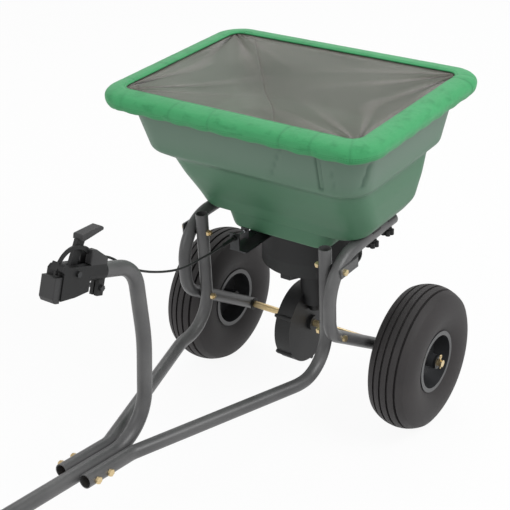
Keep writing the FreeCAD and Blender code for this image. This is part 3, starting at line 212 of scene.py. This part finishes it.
# %% Hard finishes of this machine
powder_coat = hard_finish("powder_coat", srgb(74, 74, 75), srgb(96, 96, 96), (0.34, 0.48), 900, 0.00022,
                          coat=0.12)
yellow_zinc = hard_finish("yellow_zinc", srgb(206, 180, 132), srgb(236, 216, 172), (0.26, 0.42), 700, 0.00012,
                          metallic=0.9, stretch=(0.08, 1, 1))
plain_zinc = hard_finish("plain_zinc", srgb(140, 142, 145), srgb(188, 190, 192), (0.25, 0.42), 600, 0.00012,
                         metallic=0.95, stretch=(1, 0.1, 1))
black_moulding = hard_finish("black_moulding", srgb(6, 7, 8), srgb(14, 15, 16), (0.48, 0.62), 1300, 0.00025)
grey_moulding = hard_finish("grey_moulding", srgb(42, 42, 43), srgb(56, 56, 57), (0.45, 0.6), 1300, 0.00025)
band_moulding = hard_finish("band_moulding", srgb(12, 14, 14), srgb(24, 26, 26), (0.45, 0.6), 1300, 0.00025)
nylon = hard_finish("nylon", srgb(206, 203, 190), srgb(224, 221, 208), (0.35, 0.5), 500, 0.0002)
valve_rubber = hard_finish("valve_rubber", srgb(26, 26, 27), srgb(36, 36, 37), (0.5, 0.65), 900, 0.0003)
dark_zinc = hard_finish("dark_zinc", srgb(58, 59, 60), srgb(84, 85, 86), (0.32, 0.48), 600, 0.00012,
                        metallic=0.8)
rim_paint = hard_finish("rim_paint", srgb(44, 45, 47), srgb(62, 63, 65), (0.30, 0.44), 900, 0.0002, coat=0.3)
print("finishes so far:", [material.name for material in bpy.data.materials])

# %% [markdown]
# ## Hopper green
# Rotomoulded polyethylene is a little chalky: the upper band, which daylight
# reaches through the wall, looks greyer than the body below, and tiny pits
# cover it all. The height in Object coordinates drives that change of shade.

# %% Hopper plastic
hopper_plastic, tree, shader, place = start("hopper_plastic")
height = add(tree, "ShaderNodeSeparateXYZ", inputs={"Vector": place}, out="Z")
upper = rising(tree, height, 0.60, 0.70, interpolation_type="SMOOTHSTEP")
cloudy = noise(tree, place, 7.0, 5.0)
pits = noise(tree, place, 1600.0, 2.0)
body_shade = blend_colour(tree, cloudy, srgb(68, 112, 84), srgb(80, 124, 96))
band_shade = blend_colour(tree, cloudy, srgb(92, 118, 102), srgb(104, 130, 113))
shadowed = painted(tree, "groove")
hopper_shade = blend_colour(tree, upper, body_shade, band_shade)
feed(tree, shader, Base_Color=blend_colour(tree, shadowed, hopper_shade, srgb(44, 78, 60)),
     Roughness=0.40 + 0.16 * cloudy, Normal=bumped(tree, pits, 0.00022))
shader.inputs["Specular IOR Level"].default_value = 0.4
print("hopper plastic nodes:", len(tree.nodes))

# %% [markdown]
# ## Tyre rubber
# Rubber is near black and dull, with a faint brown bloom where the mould let
# the wax out, and fine circumferential lines left by the mould.

# %% Tyre rubber
tyre_rubber, tree, shader, place = start("tyre_rubber")
bloom = noise(tree, place, 14.0, 5.0)
pores = noise(tree, place, 900.0, 2.0, (0.3, 1, 1))
feed(tree, shader, Base_Color=blend_colour(tree, bloom, srgb(44, 42, 43), srgb(64, 61, 61)),
     Roughness=0.52 + 0.2 * bloom, Normal=bumped(tree, pores, 0.0003))
shader.inputs["Specular IOR Level"].default_value = 0.35

# %% [markdown]
# ## Hem cloth
# The hem is a coated polyester cloth with a plain weave of threads about half
# a millimetre apart. The weave follows the band, so it reads the piece's own
# UV map: u runs round the band and v across it, both in metres. Three rows of
# stitches along the casing come from the same map, and the mesh's own "fold"
# tone darkens the tucks with painted shade.

# %% Hem cloth
hem_cloth, tree, shader, place = start("hem_cloth")
uv = add(tree, "ShaderNodeTexCoord", out="UV")
across = add(tree, "ShaderNodeSeparateXYZ", inputs={"Vector": uv}, out="Y")
along = add(tree, "ShaderNodeSeparateXYZ", inputs={"Vector": uv}, out="X")


def wave(tree, position, spacing):
    """A sine of position, one wave each spacing metres, from 0 to 1."""
    turns = add(tree, "ShaderNodeMath", {"operation": "SINE"}, {0: position * (2 * np.pi / spacing)})
    return turns * 0.5 + 0.5


THREAD, STITCH, STITCH_WIDTH = 0.0011, 0.0045, 0.0011      # a weave's wave, a stitch's pitch and width
weave = wave(tree, along, THREAD) * 0.5 + wave(tree, across, THREAD) * 0.5
faded = noise(tree, place, 11.0, 4.0)
stitch_gap = add(tree, "ShaderNodeMath", {"operation": "GREATER_THAN"}, {0: wave(tree, along, STITCH), 1: 0.45})


def seam(tree, across, centre, width):
    """1 within width of centre, measured across the band."""
    away = add(tree, "ShaderNodeMath", {"operation": "ABSOLUTE"}, {0: across - centre})
    return add(tree, "ShaderNodeMath", {"operation": "LESS_THAN"}, {0: away, 1: width / 2})


STITCH_ROWS = (0.0165, 0.0205, 0.0760)
rows = [seam(tree, across, row, STITCH_WIDTH) for row in STITCH_ROWS]
stitches = (rows[0] + rows[1] + rows[2]) * stitch_gap
# Painted shade: the band is darker at its lower edge, where the cloth turns under.
lower_edge_shade = add(tree, "ShaderNodeMapRange", {"interpolation_type": "SMOOTHSTEP"},
                 {"Value": across, "From Min": 0.008, "From Max": 0.022, "To Min": 1.0, "To Max": 0.0})
cloth_shade = blend_colour(tree, faded, srgb(54, 152, 92), srgb(74, 168, 110))
cloth_shade = blend_colour(tree, lower_edge_shade, cloth_shade, srgb(44, 142, 84))
cloth_shade = blend_colour(tree, stitches, cloth_shade, srgb(34, 112, 66))
# Painted shade: the "fold" tone darkens the cloth in the tucks.
folded = painted(tree, "fold")
crumple = noise(tree, place, 38.0, 6.0, (1, 1, 2.2), 0.62)
cloth_shade = blend_colour(tree, folded * 0.6, cloth_shade, srgb(26, 96, 58))
# Painted shade: the cloth is darker where the crumple noise, which also bumps the surface, is high.
crumple_shade = add(tree, "ShaderNodeMapRange", inputs={"Value": crumple, "From Min": 0.52, "From Max": 0.72,
                                                  "To Max": 0.6})
cloth_shade = blend_colour(tree, crumple_shade, cloth_shade, srgb(38, 130, 76))
feed(tree, shader, Base_Color=cloth_shade, Roughness=0.62 + 0.12 * faded,
     Normal=bumped(tree, weave * 0.05 + stitches * 0.03 + crumple, 0.0022))
shader.inputs["Sheen Weight"].default_value = 0.15
shader.inputs["Specular IOR Level"].default_value = 0.35

# %% [markdown]
# ## Rain film
# The cover's middle is a smoky vinyl film: it lets a shape through from below
# but not its detail. A partly see-through surface, slightly milky and glossy,
# gives that. The mesh's own "crease" tone paints shade into the film: it makes
# it darker and denser in the troughs of the corner creases and in patches
# along its edges.

# %% Rain film
rain_film, tree, shader, place = start("rain_film")
haze = noise(tree, place, 6.0, 4.0)
ripple = noise(tree, place, 24.0, 2.0)
# Painted shade: the "crease" tone darkens the film and makes it denser in the crease troughs and along its
# edges.
crease_shade = painted(tree, "crease")
clear_shade = blend_colour(tree, haze, srgb(150, 143, 136), srgb(180, 174, 166))
feed(tree, shader, Base_Color=blend_colour(tree, crease_shade, clear_shade, srgb(40, 32, 31)),
     Roughness=0.24 + 0.14 * haze, Alpha=0.14 + 0.06 * haze + 0.5 * crease_shade,
     Normal=bumped(tree, ripple, 0.0002))
shader.inputs["Specular IOR Level"].default_value = 0.35

# %% [markdown]
# ## Surfaces from grids
# Most new pieces are a grid of points: rows run up or along the piece and
# columns run round it. `skin` turns such a grid into a mesh in one step, and
# turns the faces outward by the sign of the volume they enclose.


# %% Grid to mesh
def skin(name, grid, material, closed_rows=False, closed_columns=True, uv=None):
    """A mesh from grid[rows, columns, xyz]; each face joins four neighbours.

    uv[rows + 1, columns + 1, 2], where given, is its map.
    """
    rows, columns = grid.shape[:2]
    index = np.arange(rows * columns).reshape(rows, columns)
    if closed_rows:
        index = np.vstack([index, index[:1]])
    if closed_columns:
        index = np.hstack([index, index[:, :1]])
    faces = np.stack([index[:-1, :-1], index[:-1, 1:], index[1:, 1:], index[1:, :-1]], axis=-1).reshape(-1, 4)
    points = grid.reshape(-1, 3)
    corner = points[faces]
    flux = np.einsum("ij,ij->i", corner[:, 0], np.cross(corner[:, 1], corner[:, 2]))
    flux += np.einsum("ij,ij->i", corner[:, 0], np.cross(corner[:, 2], corner[:, 3]))
    inside_out = flux.sum() < 0
    if inside_out:
        faces = faces[:, ::-1]
    mesh = bpy.data.meshes.new(name)
    mesh.from_pydata(points.tolist(), [], faces.tolist())
    mesh.polygons.foreach_set("use_smooth", np.ones(len(faces), dtype=bool))
    if uv is not None:
        corners = np.stack([uv[:-1, :-1], uv[:-1, 1:], uv[1:, 1:], uv[1:, :-1]], axis=2).reshape(-1, 4, 2)
        if inside_out:
            corners = corners[:, ::-1]
        mesh.uv_layers.new(name="cloth").data.foreach_set("uv", corners.reshape(-1).astype(np.float32))
    mesh.materials.append(material)
    piece = bpy.data.objects.new(name, mesh)
    bpy.context.scene.collection.objects.link(piece)
    print(f"{name}: {len(points)} points, {len(faces)} faces")
    return piece


def tint(piece, name, tone):
    """Stores a tone from 0 to 1 at each of a piece's points, in the order of its grid."""
    values = np.asarray(tone, dtype=np.float32).reshape(-1)
    piece.data.attributes.new(name, "FLOAT", "POINT").data.foreach_set("value", values)


def grid_normals(grid, closed_columns=True):
    """Unit normals of a grid: the cross product of its column and row differences."""
    round_it = np.roll(grid, -1, 1) - np.roll(grid, 1, 1) if closed_columns else np.gradient(grid, axis=1)
    up_it = np.gradient(grid, axis=0)
    normal = np.cross(round_it, up_it)
    return normal / np.maximum(np.linalg.norm(normal, axis=2, keepdims=True), 1e-12)


# %% [markdown]
# ## Rounded rectangles
# The hopper and its cover are the same shape at every height: a rectangle
# with round corners. One function gives that outline for many heights at once:
# four straight sides and four quarter circles, with the same share of points
# at every height, so that neighbouring outlines join without twisting. A wall's
# key levels are softened first, so that each crease gets a small radius.


# %% Outline of a rounded rectangle
def outline(levels, front, side, corner_steps):
    """Rows of outline points, for levels of (z, half width, front y, rear y, corner radius) in millimetres.

    Front, right, rear and left sides are straight: start + share * length. Each corner is its centre plus
    radius * (cos a, sin a), with the angle a turning through a quarter between its two sides.
    """
    z, half, y0, y1, radius = (levels[:, k:k + 1] for k in range(5))
    quarter = np.linspace(0, np.pi / 2, corner_steps, endpoint=False)
    run_x, run_y = half - radius, (y1 - y0) / 2 - radius
    middle = (y0 + y1) / 2
    front, side = np.sort(front)[None, :], np.sort(side)[None, :]
    rear, far_side = np.sort(front[:, ::-1] * -1 + 1), np.sort(side[:, ::-1] * -1 + 1)
    shares = ((front, run_x), (side, run_y), (rear, run_x), (far_side, run_y))
    steps = [(2 * share - 1) * run for share, run in shares]
    sides = ((steps[0], y0 + 0 * steps[0]), (half + 0 * steps[1], middle + steps[1]),
             (-steps[2], y1 + 0 * steps[2]), (-half + 0 * steps[3], middle - steps[3]))
    centres = ((run_x, y0 + radius), (run_x, y1 - radius), (-run_x, y1 - radius), (-run_x, y0 + radius))
    xs, ys = [], []
    for turn, ((side_x, side_y), (centre_x, centre_y)) in enumerate(zip(sides, centres)):
        angle = quarter[None, :] + (turn - 1) * np.pi / 2
        xs += [side_x, centre_x + radius * np.cos(angle)]
        ys += [side_y, centre_y + radius * np.sin(angle)]
    x, y = np.hstack(xs), np.hstack(ys)
    return np.stack([x / 1000, y / 1000 + AXLE_Y, np.broadcast_to(z / 1000, x.shape)], axis=2)


def softened(levels, reach, steps, longest):
    """Key levels with each corner rounded by a short parabola, and the runs divided to at most longest."""
    levels = np.array(levels, dtype=float)
    out = [levels[:1]]
    for before, corner, after in zip(levels[:-2], levels[1:-1], levels[2:]):
        back, ahead = before - corner, after - corner
        back *= min(reach / np.linalg.norm(back[:3]), 0.45)
        ahead *= min(reach / np.linalg.norm(ahead[:3]), 0.45)
        t = np.linspace(0, 1, steps)[:, None]
        out.append((1 - t) ** 2 * (corner + back) + 2 * t * (1 - t) * corner + t ** 2 * (corner + ahead))
    rows = np.vstack([*out, levels[-1:]])
    gaps = np.linalg.norm(np.diff(rows[:, :3], axis=0), axis=1)
    parts = np.maximum(np.ceil(gaps / longest), 1).astype(int)
    spread = [a + (b - a) * np.linspace(0, 1, n, endpoint=False)[:, None]
              for a, b, n in zip(rows[:-1], rows[1:], parts)]
    return np.vstack([*spread, rows[-1:]])


# %% [markdown]
# ## Hopper
# The hopper is one moulding: a steep upper band, a ledge, a tapering belly, a
# shoulder that rests on the frame and a short collar over the outlet. CAD has
# it with sharp creases. Here the same levels are softened as a mould would
# leave them, the belly bulges slightly, and pressed grooves stiffen the band.
# The inner wall is the outer one moved in along its normals, so the lip, the
# walls and the floor are a single closed surface of even thickness.

# %% Hopper walls
HOPPER_CORNER_STEPS = 16
HOPPER_KEYS = (      # z, half width, front y, rear y, corner radius, from the floor's hole to the rim
    (455.0, 60.0, -92.0, -22.0, 10.0),
    (455.0, 124.0, -145.0, 55.0, 30.0),
    (494.0, 140.0, -148.0, 66.0, 36.0),
    (494.0, 204.0, -150.0, 84.0, 50.0),
    (523.0, 226.0, -158.0, 101.0, 60.0),
    (578.0, 237.0, -193.0, 113.0, 62.0),
    (626.0, 242.0, -219.0, 121.0, 60.0),
    (652.0, 268.0, -257.0, 131.0, 60.0),
    (778.0, 298.0, -283.0, 137.5, 62.0),
)
WALL = 3.5
front_share = np.unique(np.concatenate([np.linspace(0, 0.999, 60), np.linspace(0.90, 0.975, 30)]))
side_share = np.unique(np.concatenate([np.linspace(0, 0.999, 44), np.linspace(0.05, 0.18, 16)]))
wall_rows = softened(HOPPER_KEYS, 9.0, 7, 5.0)
outer = outline(wall_rows, front_share, side_share, HOPPER_CORNER_STEPS)
print("hopper wall:", outer.shape)

# %% [markdown]
# ### Grooves in the band
# Four channels are pressed into the upper band: two upright ones and a slanted
# one at the front, and one on the +X side. Each is a depth across its own
# middle line, and the outer wall moves in by that depth along its normals.


# %% Grooves
def smooth_step(value, low, high):
    """0 below low, 1 above high, and 3t^2 - 2t^3 between."""
    t = np.clip((value - low) / (high - low), 0, 1)
    return t * t * (3 - 2 * t)


def groove(across, width, depth):
    """A rounded channel: depth at across = 0, fading to nothing half a width away."""
    return depth * (1 - smooth_step(np.abs(across), 0.12 * width, 0.55 * width))


normal = grid_normals(outer)
centre = outer.mean(axis=(0, 1))
normal *= np.sign(np.sum(normal * (outer - centre), axis=2).mean())
x, y, z = (outer[..., k] * 1000 for k in range(3))
y = y - AXLE_Y * 1000
on_front, on_left = normal[..., 1] < -0.7, normal[..., 0] > 0.7
DEEPEST_GROOVE = 4.5
in_band = smooth_step(z, 658, 664) * (1 - smooth_step(z, 730, 742))
depth = on_front * in_band * (groove(x - 189, 15, DEEPEST_GROOVE) + groove(x - 220, 6, 1.2))
slant = 71 + (z - 665) * 0.46
depth = depth + on_front * in_band * groove(x - slant, 8, 1.6)
side_band = smooth_step(z, 668, 676) * (1 - smooth_step(z, 724, 732))
depth = depth + on_left * side_band * groove(y + 231, 11, 3.4)
outer_grooved = outer - normal * depth[..., None] / 1000
inner = outer - normal * WALL / 1000
print("deepest groove, millimetres:", round(float(depth.max()), 2))

# %% [markdown]
# ### Lip and closed shell
# The rim turns outward into a short lip. Outer wall, lip and inner wall follow
# each other as rows of one grid, which closes on itself.

# %% Hopper shell
LIP = np.array([
    (778.0, 316.0, -301.0, 155.5, 80.0), (770.0, 317.0, -302.0, 156.5, 81.0),
    (770.0, 321.0, -306.0, 160.0, 84.0), (781.0, 321.0, -306.0, 160.0, 84.0),
    (782.0, 319.0, -304.0, 158.0, 82.0), (782.0, 297.0, -282.0, 136.0, 61.0)])
lip = outline(LIP, front_share, side_share, HOPPER_CORNER_STEPS)
hopper_grid = np.concatenate([outer_grooved, lip, inner[::-1]], axis=0)
hopper_shell = skin("hopper_shell", hopper_grid, hopper_plastic, closed_rows=True)
tone = np.zeros(hopper_grid.shape[:2])
tone[:len(depth)] = np.clip(depth / DEEPEST_GROOVE, 0, 1) * 0.8
tint(hopper_shell, "groove", tone)
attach(hopper_shell, "frame")
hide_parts("hopper")

# %% [markdown]
# ## Gathered hem
# A strip of cloth is folded over an elastic cord and pulled over the lip. The
# elastic gathers it: small puckers all round, stronger at the corners, where
# the strip has more cloth than it needs. The band's section is a closed loop,
# and the puckers push it in and out along its normals as a sum of waves.

# %% Hem section and ring
HEM_HALF_X, HEM_FRONT, HEM_REAR, HEM_CORNER = 330.0, -326.0, 174.0, 70.0
HEM_CORNER_STEPS = 34
HEM_SECTION = np.array([      # distance in from the outer edge, and z
    (12.5, 756.5), (8.0, 758.0), (4.2, 761.5), (1.6, 766.0), (0.2, 771.0), (-0.4, 776.0), (0.4, 780.6),
    (2.2, 784.2), (5.4, 787.6), (10.0, 790.4), (17.0, 792.8), (25.0, 794.4), (33.0, 795.2), (38.5, 795.2),
    (41.0, 794.2), (42.0, 793.8), (43.2, 794.4), (45.0, 794.2), (46.6, 792.6), (46.4, 790.6), (40.0, 790.0),
    (28.0, 788.0), (17.0, 785.4), (10.0, 783.6), (6.2, 779.4), (5.0, 773.0), (6.6, 767.0), (9.6, 762.0),
    (12.8, 759.6)])
fine_section = np.concatenate([a + (b - a) * np.linspace(0, 1, 3, endpoint=False)[:, None]
                               for a, b in zip(HEM_SECTION, np.roll(HEM_SECTION, -1, 0))])
fine_section = (np.roll(fine_section, 1, 0) + 2 * fine_section + np.roll(fine_section, -1, 0)) / 4
inset = fine_section[:, 0]
hem_rows = np.stack([fine_section[:, 1], HEM_HALF_X - inset, HEM_FRONT + inset, HEM_REAR - inset,
                     HEM_CORNER - inset], axis=1)
hem_grid = outline(hem_rows, np.linspace(0, 1, 170, endpoint=False), np.linspace(0, 1, 130, endpoint=False),
                   HEM_CORNER_STEPS)
hem_normal = grid_normals(hem_grid)
ring = hem_grid[0]
step_length = np.linalg.norm(np.roll(ring, -1, 0) - ring, axis=1)
travel = np.concatenate([[0], np.cumsum(step_length)[:-1]])
around = travel / step_length.sum() * 2 * np.pi
print("hem round the ring, metres:", round(float(step_length.sum()), 3))

# %% [markdown]
# ### Puckers and tucks
# Puckers are a sum of seven waves round the ring with random phases, stronger
# near the corners and towards the hem's lower edge. Tucks are narrow pressed
# folds at random places, each slanting a little as it crosses the band.

# %% Puckers and tucks
corner_pull = np.zeros_like(around)
for corner_x in (-HEM_HALF_X, HEM_HALF_X):
    for corner_y in (HEM_FRONT, HEM_REAR):
        spot = np.array(at_axle(corner_x, corner_y, 0))[:2]
        away = np.linalg.norm(ring[:, :2] - spot, axis=1)
        corner_pull += np.exp(-(away / 0.075) ** 2)
rng = np.random.default_rng(12)
puckers = np.zeros_like(around)
for waves in (23, 31, 44, 59, 78, 97, 131):
    puckers += np.sin(waves * around + rng.uniform(0, 2 * np.pi)) / np.sqrt(waves)
puckers *= (0.6 + 1.3 * corner_pull) * 2.4
TUCK_COUNT = 26
tuck_place = rng.uniform(0, 2 * np.pi, TUCK_COUNT)
tuck_slant = rng.uniform(-0.9, 0.9, TUCK_COUNT)
tuck_depth = rng.uniform(0.1, 0.85, TUCK_COUNT) ** 1.6
low = 1 - smooth_step(fine_section[:, 1], 762, 790)
crease = (0.30 + 0.70 * low)[:, None] * puckers[None, :]
section_middle = hem_grid.mean(axis=0, keepdims=True)
hem_normal *= np.sign(np.sum(hem_normal * (hem_grid - section_middle), axis=2).mean())
across_band = (fine_section[:, 0] / 46)[:, None, None]
offset = around[None, :, None] - tuck_place - tuck_slant * (across_band - 0.5) * 0.03
offset = (offset + np.pi) % (2 * np.pi) - np.pi
folds = (tuck_depth * np.exp(-(offset / 0.0075) ** 2)).sum(axis=2)
outer_side = (np.arange(len(fine_section)) < 0.66 * len(fine_section))[:, None]
folds = folds * outer_side
print("deepest tuck:", round(float(folds.max()), 2))

# %% [markdown]
# ### The sewn hem
# The ring's points move along their normals by the puckers and tucks. The map
# takes its v from the length along the section.

# %% Sewn hem
hem_grid = hem_grid + hem_normal * ((crease * 0.42 - folds * 0.9) / 1000)[..., None]
hem_grid[..., 2] += (low[:, None] * np.sin(37 * around + 1.0)[None, :] * 1.1 / 1000)
closed_section = np.vstack([fine_section, fine_section[:1]])
strip = np.concatenate([[0], np.cumsum(np.linalg.norm(np.diff(closed_section, axis=0), axis=1))]) / 1000
hem_uv = np.stack(np.meshgrid(np.append(travel, step_length.sum()), strip), axis=2)
cover_band = skin("gathered_hem", hem_grid, hem_cloth, closed_rows=True, uv=hem_uv)
tint(cover_band, "fold", np.clip(folds, 0, 1))
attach(cover_band, "rain_cover")
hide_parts("cover_hem")

# %% [markdown]
# ## Film
# The film is cut a little larger than the mouth, so it hangs a few
# millimetres and creases where the corners pull it. Near a corner the height
# is a wave in the angle about that corner, dying away with distance.

# %% Film sheet
FILM_HALF_X, FILM_Y0, FILM_Y1, FILM_Z = 287.0, -283.0, 131.0, 789.0
FILM_THICKNESS = 0.0006
fx = np.linspace(-FILM_HALF_X, FILM_HALF_X, 231)
fy = np.linspace(FILM_Y0, FILM_Y1, 167)
gx, gy = np.meshgrid(fx, fy)
edge = np.minimum(FILM_HALF_X - np.abs(gx), np.minimum(gy - FILM_Y0, FILM_Y1 - gy))
sag = -5.5 * smooth_step(edge, 0, 120)
lift = np.zeros_like(gx)
for side_x, corner_y, pull, phase in ((-1, FILM_Y0, 3.0, 0.6), (1, FILM_Y0, 2.2, 2.1), (1, FILM_Y1, 3.0, 1.2),
                                      (-1, FILM_Y1, 2.4, 0.2)):
    corner = np.array([side_x * FILM_HALF_X, corner_y])
    away = np.hypot(gx - corner[0], gy - corner[1])
    angle = np.arctan2(np.abs(gy - corner[1]), np.abs(gx - corner[0]))
    fan = np.sin(angle * 13 + phase) * 0.6 + np.sin(angle * 22 + 2 * phase) * 0.4
    lift += 1.5 * pull * fan * np.exp(-away / 95) * smooth_step(edge, 0, 14)
slack = 0.8 * np.sin(gx / 61 + gy / 140) * np.sin(gy / 52 + 0.7) * smooth_step(edge, 5, 60)
film_z = FILM_Z + sag + lift + slack
film_top = np.stack([gx / 1000, gy / 1000 + AXLE_Y, film_z / 1000], axis=2)
film = skin("rain_film_sheet", film_top, rain_film, closed_columns=False)
# Painted shade: the tone is high in the troughs of the corner creases and in patches along the edges.
patchy = smooth_step(np.sin(gx / 47 + 1.3) + np.sin(gy / 39), -0.6, 1.2)
crease_shade_tone = np.clip(-lift / 2.2, 0, 1) * 0.9 + 0.55 * (1 - smooth_step(edge, 4, 26)) * patchy
tint(film, "crease", np.clip(crease_shade_tone, 0, 1))
thick = film.modifiers.new("thickness", "SOLIDIFY")
thick.thickness, thick.offset = FILM_THICKNESS, 0.0
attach(film, "rain_cover")
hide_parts("cover_film")

# %% [markdown]
# ## Control cable
# A sheathed pull cable runs from the control head to the barrel under the
# hopper. It hangs in one slack curve. A NURBS curve through the route's control points
# keeps it smooth, and a round bevel gives it its sheath.

# %% Cable
CABLE_ROUTE = ((-12, -687.25, 658.82), (-12, -659.24, 648.07), (-24, -603, 594), (-31, -550, 557),
               (-37, -494, 527), (-43, -436, 502), (-50, -384, 487), (-57, -334, 479), (-62, -292, 470),
               (-62, -258, 470))
CABLE_D = 0.0048
wire = bpy.data.curves.new("control_cable_sheath", "CURVE")
wire.dimensions, wire.bevel_depth, wire.bevel_resolution, wire.resolution_u = "3D", CABLE_D / 2, 4, 16
spline = wire.splines.new("NURBS")
spline.points.add(len(CABLE_ROUTE) - 1)
spline.points.foreach_set("co", np.array([(*at_axle(*p), 1.0) for p in CABLE_ROUTE]).reshape(-1))
spline.order_u, spline.use_endpoint_u = 3, True
wire.use_fill_caps = True
wire.materials.append(valve_rubber)
cable = bpy.data.objects.new("control_cable_sheath", wire)
bpy.context.scene.collection.objects.link(cable)
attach(cable, "frame")
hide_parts("control_cable")

# %% [markdown]
# ## Finishes for the CAD nodes
# Every node gets its finish from this list, also the four whose shape was
# made again above. The last line names any node that was left out.

# %% Dress the CAD nodes
FINISHES = {
    powder_coat: "upright_arm_left upright_arm_right side_loop_left side_loop_right tow_tube hitch_plates "
                 "loop_brackets",
    yellow_zinc: "hitch_bolts tow_joint_bolts frame_bolts m8_nuts axle axle_cotters drive_pins hopper_bolts",
    plain_zinc: "gate_wire agitator impeller_shaft gate_rails",
    dark_zinc: "shutoff_gate cable_bracket axle_spacers axle_washers base_screws gearbox_screws control_bolts",
    black_moulding: "base_housing gearbox_left gearbox_right gearbox_hanger control_housing quadrant lever "
                    "hopper_knobs hopper_saddles rate_stop rate_stop_screw frame_spacers cable_barrel "
                    "axle_bushes wheel_bushes_left wheel_bushes_right",
    grey_moulding: "control_cover control_front_block lever_grip",
    band_moulding: "front_deflector impeller",
    nylon: "shaft_bush crown_gear pinion",
    tyre_rubber: "tyre_left tyre_right",
    valve_rubber: "valve_left valve_right control_cable",
    rim_paint: "rim_left rim_right",
    hopper_plastic: "hopper",
    hem_cloth: "cover_hem",
    rain_film: "cover_film",
}
for material, names in FINISHES.items():
    for name in names.split():
        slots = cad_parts[name].data.materials
        slots.clear()
        slots.append(material)
bare = sorted(set(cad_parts) - set(" ".join(FINISHES.values()).split()))
print("nodes without a finish:", bare)

# %% [markdown]
# ## Floor and light
# A broad soft lamp high on the +X side, two weaker ones and a pale surround
# light the machine evenly. On the floor, camera, glossy and see-through rays
# meet nearly plain white, and it still takes a faint shadow. In the surround
# only camera rays do, and all other rays meet its plain lighting level.


# %% Floor
def seen_directly(tree):
    """1 for rays from the camera, and for rays that a gloss or a clear body sends on."""
    path = tree.nodes.new("ShaderNodeLightPath")
    direct = [Wire(path.outputs[name]) for name in ("Is Camera Ray", "Is Glossy Ray", "Is Transmission Ray")]
    return add(tree, "ShaderNodeClamp", inputs={"Value": direct[0] + direct[1] + direct[2]})


FLOOR_HALF, FLOOR_Z = 14.0, -0.0005
floor_mesh = bpy.data.meshes.new("floor")
floor_corners = [(x * FLOOR_HALF, y * FLOOR_HALF, FLOOR_Z) for x, y in ((-1, -1), (1, -1), (1, 1), (-1, 1))]
floor_mesh.from_pydata(floor_corners, [], [(0, 1, 2, 3)])
floor = bpy.data.objects.new("floor", floor_mesh)
bpy.context.scene.collection.objects.link(floor)
paper, tree, shader, _ = start("paper_floor")
shader.inputs["Base Color"].default_value = (0.86, 0.86, 0.86, 1)
shader.inputs["Roughness"].default_value = 0.9
white = add(tree, "ShaderNodeEmission", inputs={"Color": (1, 1, 1, 1), "Strength": 1.0})
mixed = add(tree, "ShaderNodeMixShader",
            inputs={0: seen_directly(tree) * 0.93, 1: Wire(shader.outputs[0]), 2: white})
tree.links.new(mixed.socket, tree.nodes["Material Output"].inputs["Surface"])
floor_mesh.materials.append(paper)

# %% Surround
LIGHT_LEVEL, SEEN_LEVEL = 0.55, 1.0
world = bpy.data.worlds.new("surround")
bpy.context.scene.world = world
world.use_nodes = True
surround = world.node_tree
soft = add(surround, "ShaderNodeBackground", inputs={"Color": (1, 1, 1, 1), "Strength": LIGHT_LEVEL})
plain = add(surround, "ShaderNodeBackground", inputs={"Color": (1, 1, 1, 1), "Strength": SEEN_LEVEL})
path = surround.nodes.new("ShaderNodeLightPath")
both = add(surround, "ShaderNodeMixShader", inputs={0: Wire(path.outputs["Is Camera Ray"]), 1: soft, 2: plain})
surround.links.new(both.socket, surround.nodes["World Output"].inputs["Surface"])
print("surround levels:", LIGHT_LEVEL, SEEN_LEVEL)


# %% Lamps
def lamp(name, place, target, size, power):
    """A square soft lamp at place that points at target."""
    data = bpy.data.lights.new(name, "AREA")
    data.size, data.energy = size, power
    light = bpy.data.objects.new(name, data)
    back = np.array(place) - np.array(target)
    back /= np.linalg.norm(back)
    side_way = np.cross((0, 0, 1), back)
    side_way /= np.linalg.norm(side_way)
    axes = Matrix((side_way, np.cross(back, side_way), back)).transposed()
    light.matrix_world = Matrix.Translation(place) @ axes.to_4x4()
    bpy.context.scene.collection.objects.link(light)


lamp("key", (2.4, 0.6, 3.0), (0, 0.2, 0.4), 1.8, 66)
lamp("fill", (-1.6, -3.2, 2.6), (0, 0, 0.4), 2.6, 34)
lamp("rear", (-1.2, 2.8, 2.8), (0, 0.3, 0.5), 2.0, 26)
print("lamps:", [light.name for light in bpy.data.lights])
